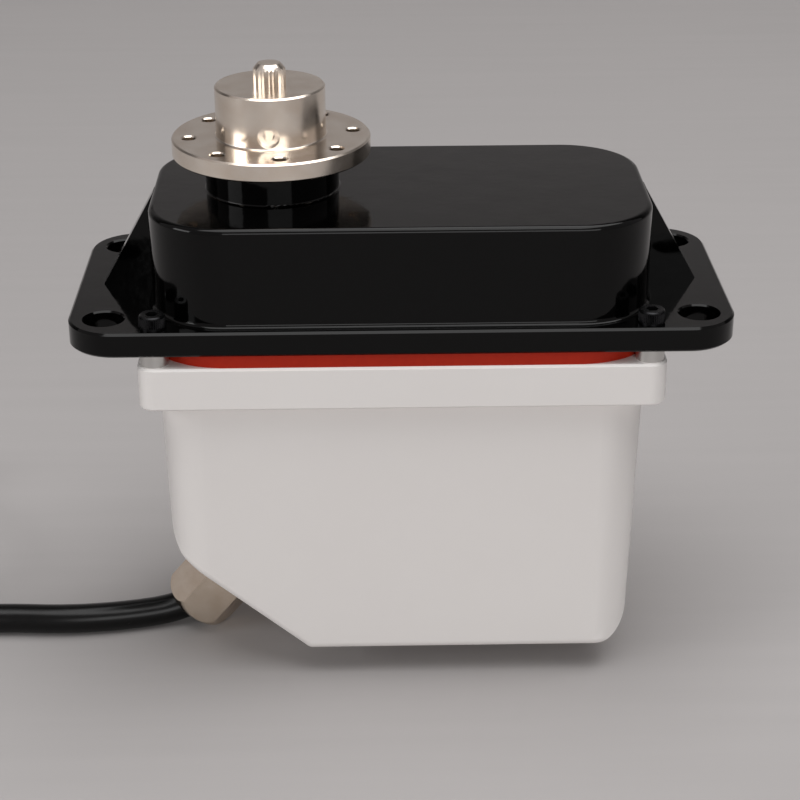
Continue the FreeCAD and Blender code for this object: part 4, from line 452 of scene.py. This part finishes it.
def grid_box(form, xs, ys, zs, keep):
    """Outer skin of the cells between the given planes for which keep(i, j, k) holds."""
    corner = {}

    def at(i, j, k):
        if (i, j, k) not in corner:
            corner[i, j, k] = form.verts.new((xs[i], ys[j], zs[k]))
        return corner[i, j, k]

    def solid(i, j, k):
        inside = 0 <= i < len(xs) - 1 and 0 <= j < len(ys) - 1 and 0 <= k < len(zs) - 1
        return inside and keep(i, j, k)

    # the corners of the face on each side of a cell
    quads = {
        (-1, 0, 0): ((0, 0, 0), (0, 0, 1), (0, 1, 1), (0, 1, 0)),
        (1, 0, 0): ((1, 0, 0), (1, 1, 0), (1, 1, 1), (1, 0, 1)),
        (0, -1, 0): ((0, 0, 0), (1, 0, 0), (1, 0, 1), (0, 0, 1)),
        (0, 1, 0): ((0, 1, 0), (0, 1, 1), (1, 1, 1), (1, 1, 0)),
        (0, 0, -1): ((0, 0, 0), (0, 1, 0), (1, 1, 0), (1, 0, 0)),
        (0, 0, 1): ((0, 0, 1), (1, 0, 1), (1, 1, 1), (0, 1, 1)),
    }
    for i in range(len(xs) - 1):
        for j in range(len(ys) - 1):
            for k in range(len(zs) - 1):
                if not solid(i, j, k):
                    continue
                for (di, dj, dk), quad in quads.items():
                    if not solid(i + di, j + dj, k + dk):
                        form.faces.new([at(i + a, j + b, k + c) for a, b, c in quad])


def tapered_block(form, middle, size, top):
    """Adds a block round middle whose upper end is narrower: top gives its shares of the size in x and y."""
    for v in bmesh.ops.create_cube(form, size=1)["verts"]:
        share = top if v.co.z > 0 else (1, 1)
        v.co = Vector((middle[0] + v.co.x * size[0] * share[0], middle[1] + v.co.y * size[1] * share[1],
                       middle[2] + v.co.z * size[2]))


PLUG_PITCH = 3.4 * MM
PLUG_PORT = 2.2 * MM
PLUG_PORT_DEPTH = 7 * MM
PLUG_EDGE = 0.35 * MM
WINDOW_AFTER = 1.2 * MM
WINDOW_LENGTH = 2.2 * MM
KEY_MIDDLE = 6.5 * MM
KEY_SIZE = (10 * MM, 1.4 * MM, 1.0 * MM)
KEY_TOP = (1, 0.8)
RIB_COUNT = 4
RIB_FIRST = 2.2 * MM
RIB_PITCH = 1.6 * MM
RIB_THICK = 0.8 * MM
RIB_INSET = 1.6 * MM
RIB_HEIGHT = 0.4 * MM
RIB_TOP = (0.5, 1)


def make_plug():
    """Three-way plug: a nylon shell with three ports, a latch window over each contact, a keying ridge along
    the top and ribs across the grip."""
    low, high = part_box("connector")
    mid_y, mid_z = (low.y + high.y) / 2, (low.z + high.z) / 2
    half = PLUG_PORT / 2
    front = high.x - PLUG_PORT_DEPTH
    window = front + WINDOW_AFTER
    xs = [low.x, front, window, window + WINDOW_LENGTH, high.x]
    ys = [low.y]
    for k in (-1, 0, 1):
        ys += [mid_y + k * PLUG_PITCH - half, mid_y + k * PLUG_PITCH + half]
    ys.append(high.y)
    zs = [low.z, mid_z - half, mid_z + half, high.z]

    def filled(i, j, k):
        in_port = j % 2 == 1
        if in_port and k == 1 and i >= 1:
            return False
        return not (in_port and k == 2 and i == 2)

    def on_side(v):
        gaps = (v.co.y - low.y, v.co.y - high.y, v.co.z - low.z, v.co.z - high.z)
        return min(abs(gap) for gap in gaps) < 1e-6

    form = bmesh.new()
    grid_box(form, xs, ys, zs, filled)
    rims = [edge for edge in form.edges if edge.calc_face_angle(0) > 0.1 and all(map(on_side, edge.verts))]
    bmesh.ops.bevel(form, geom=rims, offset=PLUG_EDGE, segments=2, affect="EDGES", profile=0.5)
    tapered_block(form, (low.x + KEY_MIDDLE, mid_y, high.z), KEY_SIZE, KEY_TOP)
    rib = (RIB_THICK, high.y - low.y - RIB_INSET, RIB_HEIGHT)
    for k in range(RIB_COUNT):
        tapered_block(form, (low.x + RIB_FIRST + RIB_PITCH * k, mid_y, high.z), rib, RIB_TOP)
    return finish_piece("cable_plug", form, PLUG_NYLON, "plug_black", "connector")


CONTACT_WALL = 0.3 * MM
CONTACT_PLAY = 0.1 * MM
CONTACT_SET_BACK = 1.0 * MM
CONTACT_BEHIND = 0.2 * MM
LEAF_SIZE = (3.6 * MM, 0.9 * MM, 0.14 * MM)
LEAF_UNDER = 0.12 * MM
LEAF_DROP = 0.5 * MM


def make_contacts():
    """Folded bronze sleeves in the three ports, each a square tube with a spring leaf."""
    low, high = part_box("connector")
    mid_y, mid_z = (low.y + high.y) / 2, (low.z + high.z) / 2
    outer = PLUG_PORT / 2 - CONTACT_PLAY
    inner = outer - CONTACT_WALL
    front, back = high.x - CONTACT_SET_BACK, high.x - PLUG_PORT_DEPTH + CONTACT_BEHIND
    form = bmesh.new()
    for k in (-1, 0, 1):
        y = mid_y + k * PLUG_PITCH
        ys = [y - outer, y - inner, y + inner, y + outer]
        zs = [mid_z - outer, mid_z - inner, mid_z + inner, mid_z + outer]
        grid_box(form, [back, back + CONTACT_WALL, front], ys, zs, lambda i, j, m: i == 0 or (j, m) != (1, 1))
        for v in bmesh.ops.create_cube(form, size=1)["verts"]:
            drop = LEAF_DROP if v.co.x < 0 else 0.0
            v.co = Vector(((front + back) / 2 + v.co.x * LEAF_SIZE[0], y + v.co.y * LEAF_SIZE[1],
                           mid_z + inner - LEAF_UNDER - drop + v.co.z * LEAF_SIZE[2]))
    return finish_piece("plug_contacts", form, GOLD_FLASH, "brass")


def ring_of(form, middle, across, up, radius, count):
    """Vertices of a circle round middle, in the plane of across and up."""
    return [form.verts.new(middle + (across * math.cos(a) + up * math.sin(a)) * radius)
            for a in (2 * math.pi * k / count for k in range(count))]


def lathe(form, foot, axis, profile, count):
    """Closed ring of revolution: profile is (distance along the axis, radius) all the way round."""
    across = axis.orthogonal().normalized()
    up = axis.cross(across)
    rings = [ring_of(form, foot + axis * along, across, up, radius, count) for along, radius in profile]
    for a, b in zip(rings, rings[1:] + rings[:1]):
        for k in range(count):
            form.faces.new((a[k], a[(k + 1) % count], b[(k + 1) % count], b[k]))


def rubber_ring(name, foot, axis, outline, ends, count):
    """Nitrile ring round the cable: outline is (along the axis, radius) in millimetres, and ends are the two
    places along the axis where it meets the jacket."""
    profile = [(along * MM, radius * MM) for along, radius in outline]
    profile += [(along * MM, CABLE_GRIP) for along in ends]
    form = bmesh.new()
    lathe(form, foot, axis, profile, count)
    ring = finish_piece(name, form, NITRILE, "seal_black")
    for face in ring.data.polygons:
        face.use_smooth = True
    return ring


LIP_OUTLINE = ((14.9, 4.0), (15.7, 4.45), (16.5, 4.5), (16.9, 4.2), (17.2, 3.55), (17.3, 3.1))
LIP_ENDS = (17.25, 14.9)
COLLAR_OUTLINE = ((0, 3.05), (0.4, 3.3), (1.4, 3.35), (1.5, 3.1), (2.1, 3.1), (2.2, 3.45), (3.2, 3.5),
                  (3.3, 3.15), (3.9, 3.15), (4.0, 3.6), (5.2, 3.7))
COLLAR_ENDS = (5.2, 0)
COLLAR_REACH = 4.9 * MM


def make_seal_lip():
    """The clamped rubber's outer lip: it fills the nut's mouth and thins towards the cable."""
    rubber_ring("gland_lip", GLAND_FOOT, GLAND_AXIS, LIP_OUTLINE, LIP_ENDS, 40)


def make_plug_collar():
    """Stepped collar behind the plug, moulded round the jacket."""
    start = Vector((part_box("connector")[0].x - COLLAR_REACH, PLUG_MOUTH.y, PLUG_MOUTH.z))
    return rubber_ring("plug_collar", start, Vector((1, 0, 0)), COLLAR_OUTLINE, COLLAR_ENDS, 32)


KNURL = {"Head radius": 2.25 * MM, "Ridge": 0.24 * MM, "Ridge height": 1.7 * MM, "Ridges": 42}
KNURL_BELOW_TOP = 1.3 * MM


def knurl_tree():
    """Geometry Nodes: a ring of upright ridges at every vertex that comes in."""
    tree = bpy.data.node_groups.new("knurled_heads", "GeometryNodeTree")
    tree.interface.new_socket("Geometry", in_out="INPUT", socket_type="NodeSocketGeometry")
    for name, value in KNURL.items():
        kind = "NodeSocketInt" if isinstance(value, int) else "NodeSocketFloat"
        tree.interface.new_socket(name, in_out="INPUT", socket_type=kind)
    tree.interface.new_socket("Geometry", in_out="OUTPUT", socket_type="NodeSocketGeometry")
    given = add(tree, "NodeGroupInput").outputs
    round_head = {"Vertices": given["Ridges"], "Radius": given["Head radius"]}
    circle = add(tree, "GeometryNodeMeshCircle", round_head)
    sides = {"X": given["Ridge"], "Y": given["Ridge"], "Z": given["Ridge height"]}
    size = add(tree, "ShaderNodeCombineXYZ", sides)
    ridge = add(tree, "GeometryNodeMeshCube", {"Size": size.outputs[0]})
    # each ridge stands with an edge outwards
    index = add(tree, "GeometryNodeInputIndex")
    step = add(tree, "ShaderNodeMath", {0: 2 * math.pi, 1: given["Ridges"]}, operation="DIVIDE")
    turned = {0: index.outputs[0], 1: step.outputs[0], 2: math.pi / 4}
    angle = add(tree, "ShaderNodeMath", turned, operation="MULTIPLY_ADD")
    turn = add(tree, "ShaderNodeCombineXYZ", {"Z": angle.outputs[0]})
    upright = {"Points": circle.outputs[0], "Instance": ridge.outputs["Mesh"], "Rotation": turn.outputs[0]}
    ring = add(tree, "GeometryNodeInstanceOnPoints", upright)
    at_heads = {"Points": given["Geometry"], "Instance": ring.outputs[0]}
    heads = add(tree, "GeometryNodeInstanceOnPoints", at_heads)
    real = add(tree, "GeometryNodeRealizeInstances", {"Geometry": heads.outputs[0]})
    black = add(tree, "GeometryNodeSetMaterial", {"Geometry": real.outputs[0], "Material": BLACK_OXIDE})
    add(tree, "NodeGroupOutput", {"Geometry": black.outputs[0]})
    return tree


def make_knurls():
    """Straight knurling round the four cap screw heads, which stand at the corners of the cover."""
    low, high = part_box("cover_screws")
    radius = KNURL["Head radius"]
    xs, ys = (low.x + radius, high.x - radius), (low.y + radius, high.y - radius)
    mesh = bpy.data.meshes.new("head_centres")
    mesh.from_pydata([(x, y, high.z - KNURL_BELOW_TOP) for x in xs for y in ys], [], [])
    holder = bpy.data.objects.new("head_centres", mesh)
    bpy.context.scene.collection.objects.link(holder)
    modifier = holder.modifiers.new("knurl", "NODES")
    modifier.node_group = knurl_tree()
    for item in modifier.node_group.interface.items_tree:
        if item.in_out == "INPUT" and item.name in KNURL:
            modifier[item.identifier] = KNURL[item.name]
    graph = bpy.context.evaluated_depsgraph_get()
    plain = bpy.data.meshes.new_from_object(holder.evaluated_get(graph))
    plain.name = "screw_knurls"
    bpy.data.objects.remove(holder)
    return place_piece("screw_knurls", plain, BLACK_OXIDE, "steel")


plug = make_plug()
contacts = make_contacts()
collar = make_plug_collar()
make_seal_lip()
make_knurls()


# ---------------------------------------------------------------- floor, lights
SWEEP_FRONT = -1.5
SWEEP_BACK = 0.55
SWEEP_RADIUS = 0.5
SWEEP_HEIGHT = 2.5
SWEEP_SIDE = 3.0
SWEEP_STEPS = 16
# each soft box: its place and size in metres, and its power in watts
LAMPS = {
    "overhead": ((0.12, -0.08, 1.15), (1.3, 1.0), 13.2),
    "front": ((0.3, -1.3, 0.42), (1.0, 0.5), 4.6),
    "left": ((-1.15, -0.5, 0.45), (0.6, 0.5), 4.2),
}
LAMPS_AIM = (0, 0, 0.06)
FILL_STRENGTH = 0.12


def make_floor():
    """Pale grey paper sweep: flat on the floor, curving up well behind the unit."""
    profile = [(SWEEP_FRONT, 0.0), (SWEEP_BACK, 0.0)]
    for k in range(1, SWEEP_STEPS + 1):
        angle = math.pi / 2 * k / SWEEP_STEPS
        profile.append((SWEEP_BACK + SWEEP_RADIUS * math.sin(angle), SWEEP_RADIUS * (1 - math.cos(angle))))
    profile.append((SWEEP_BACK + SWEEP_RADIUS, SWEEP_HEIGHT))
    verts = [(x, y, z) for x in (-SWEEP_SIDE, SWEEP_SIDE) for y, z in profile]
    count = len(profile)
    faces = [(k, k + count, k + count + 1, k + 1) for k in range(count - 1)]
    mesh = bpy.data.meshes.new("paper_sweep")
    mesh.from_pydata(verts, [], faces)
    for face in mesh.polygons:
        face.use_smooth = True
    floor = bpy.data.objects.new("paper_sweep", mesh)
    bpy.context.scene.collection.objects.link(floor)
    # smooth grey card, with long faint streaks from the paper machine
    paper, tree, shader = new_material("grey_card", Roughness=0.75, Base_Color=srgb("#AFABAA"))
    drawn = add(tree, "ShaderNodeMapping", {"Vector": place(tree), "Scale": (0.06, 1, 1)})
    streak = add(tree, "ShaderNodeTexNoise", {"Vector": drawn.outputs[0], "Scale": per_mm(6), "Detail": 3.0})
    vary(tree, shader, streak.outputs["Fac"], ("#ABA7A6", "#B1ADAC"), (0.7, 0.8))
    mesh.materials.append(paper)


def soft_box(name, where, size, power):
    """Rectangular lamp that looks at the unit."""
    data = bpy.data.lights.new(name, "AREA")
    data.shape = "RECTANGLE"
    data.size, data.size_y = size
    data.energy = power
    lamp = bpy.data.objects.new(name, data)
    lamp.location = where
    lamp.rotation_mode = "QUATERNION"
    lamp.rotation_quaternion = (Vector(LAMPS_AIM) - Vector(where)).to_track_quat("-Z", "Y")
    bpy.context.scene.collection.objects.link(lamp)


def make_lights():
    """Three soft boxes and a weak fill. Metal and the eye see a pale room that adds no light to the unit."""
    for name, (where, size, power) in LAMPS.items():
        soft_box(name, where, size, power)
    world = bpy.data.worlds.new("studio")
    world.use_nodes = True
    tree = world.node_tree
    fill = tree.nodes["Background"]
    fill.inputs["Color"].default_value = srgb("#C8C8CA")
    fill.inputs["Strength"].default_value = FILL_STRENGTH
    room = add(tree, "ShaderNodeBackground", {"Color": srgb("#A9A5A5"), "Strength": 1.0})
    path = add(tree, "ShaderNodeLightPath").outputs
    eye_or_metal = {0: path["Is Camera Ray"], 1: path["Is Glossy Ray"]}
    seen = add(tree, "ShaderNodeMath", eye_or_metal, operation="MAXIMUM")
    or_through = {0: seen.outputs[0], 1: path["Is Transmission Ray"]}
    seen = add(tree, "ShaderNodeMath", or_through, operation="MAXIMUM")
    shown_room = {0: seen.outputs[0], 1: fill.outputs[0], 2: room.outputs[0]}
    both = add(tree, "ShaderNodeMixShader", shown_room)
    tree.links.new(both.outputs[0], tree.nodes["World Output"].inputs["Surface"])
    bpy.context.scene.world = world


make_floor()
make_lights()
bpy.context.scene.view_settings.view_transform = "Standard"
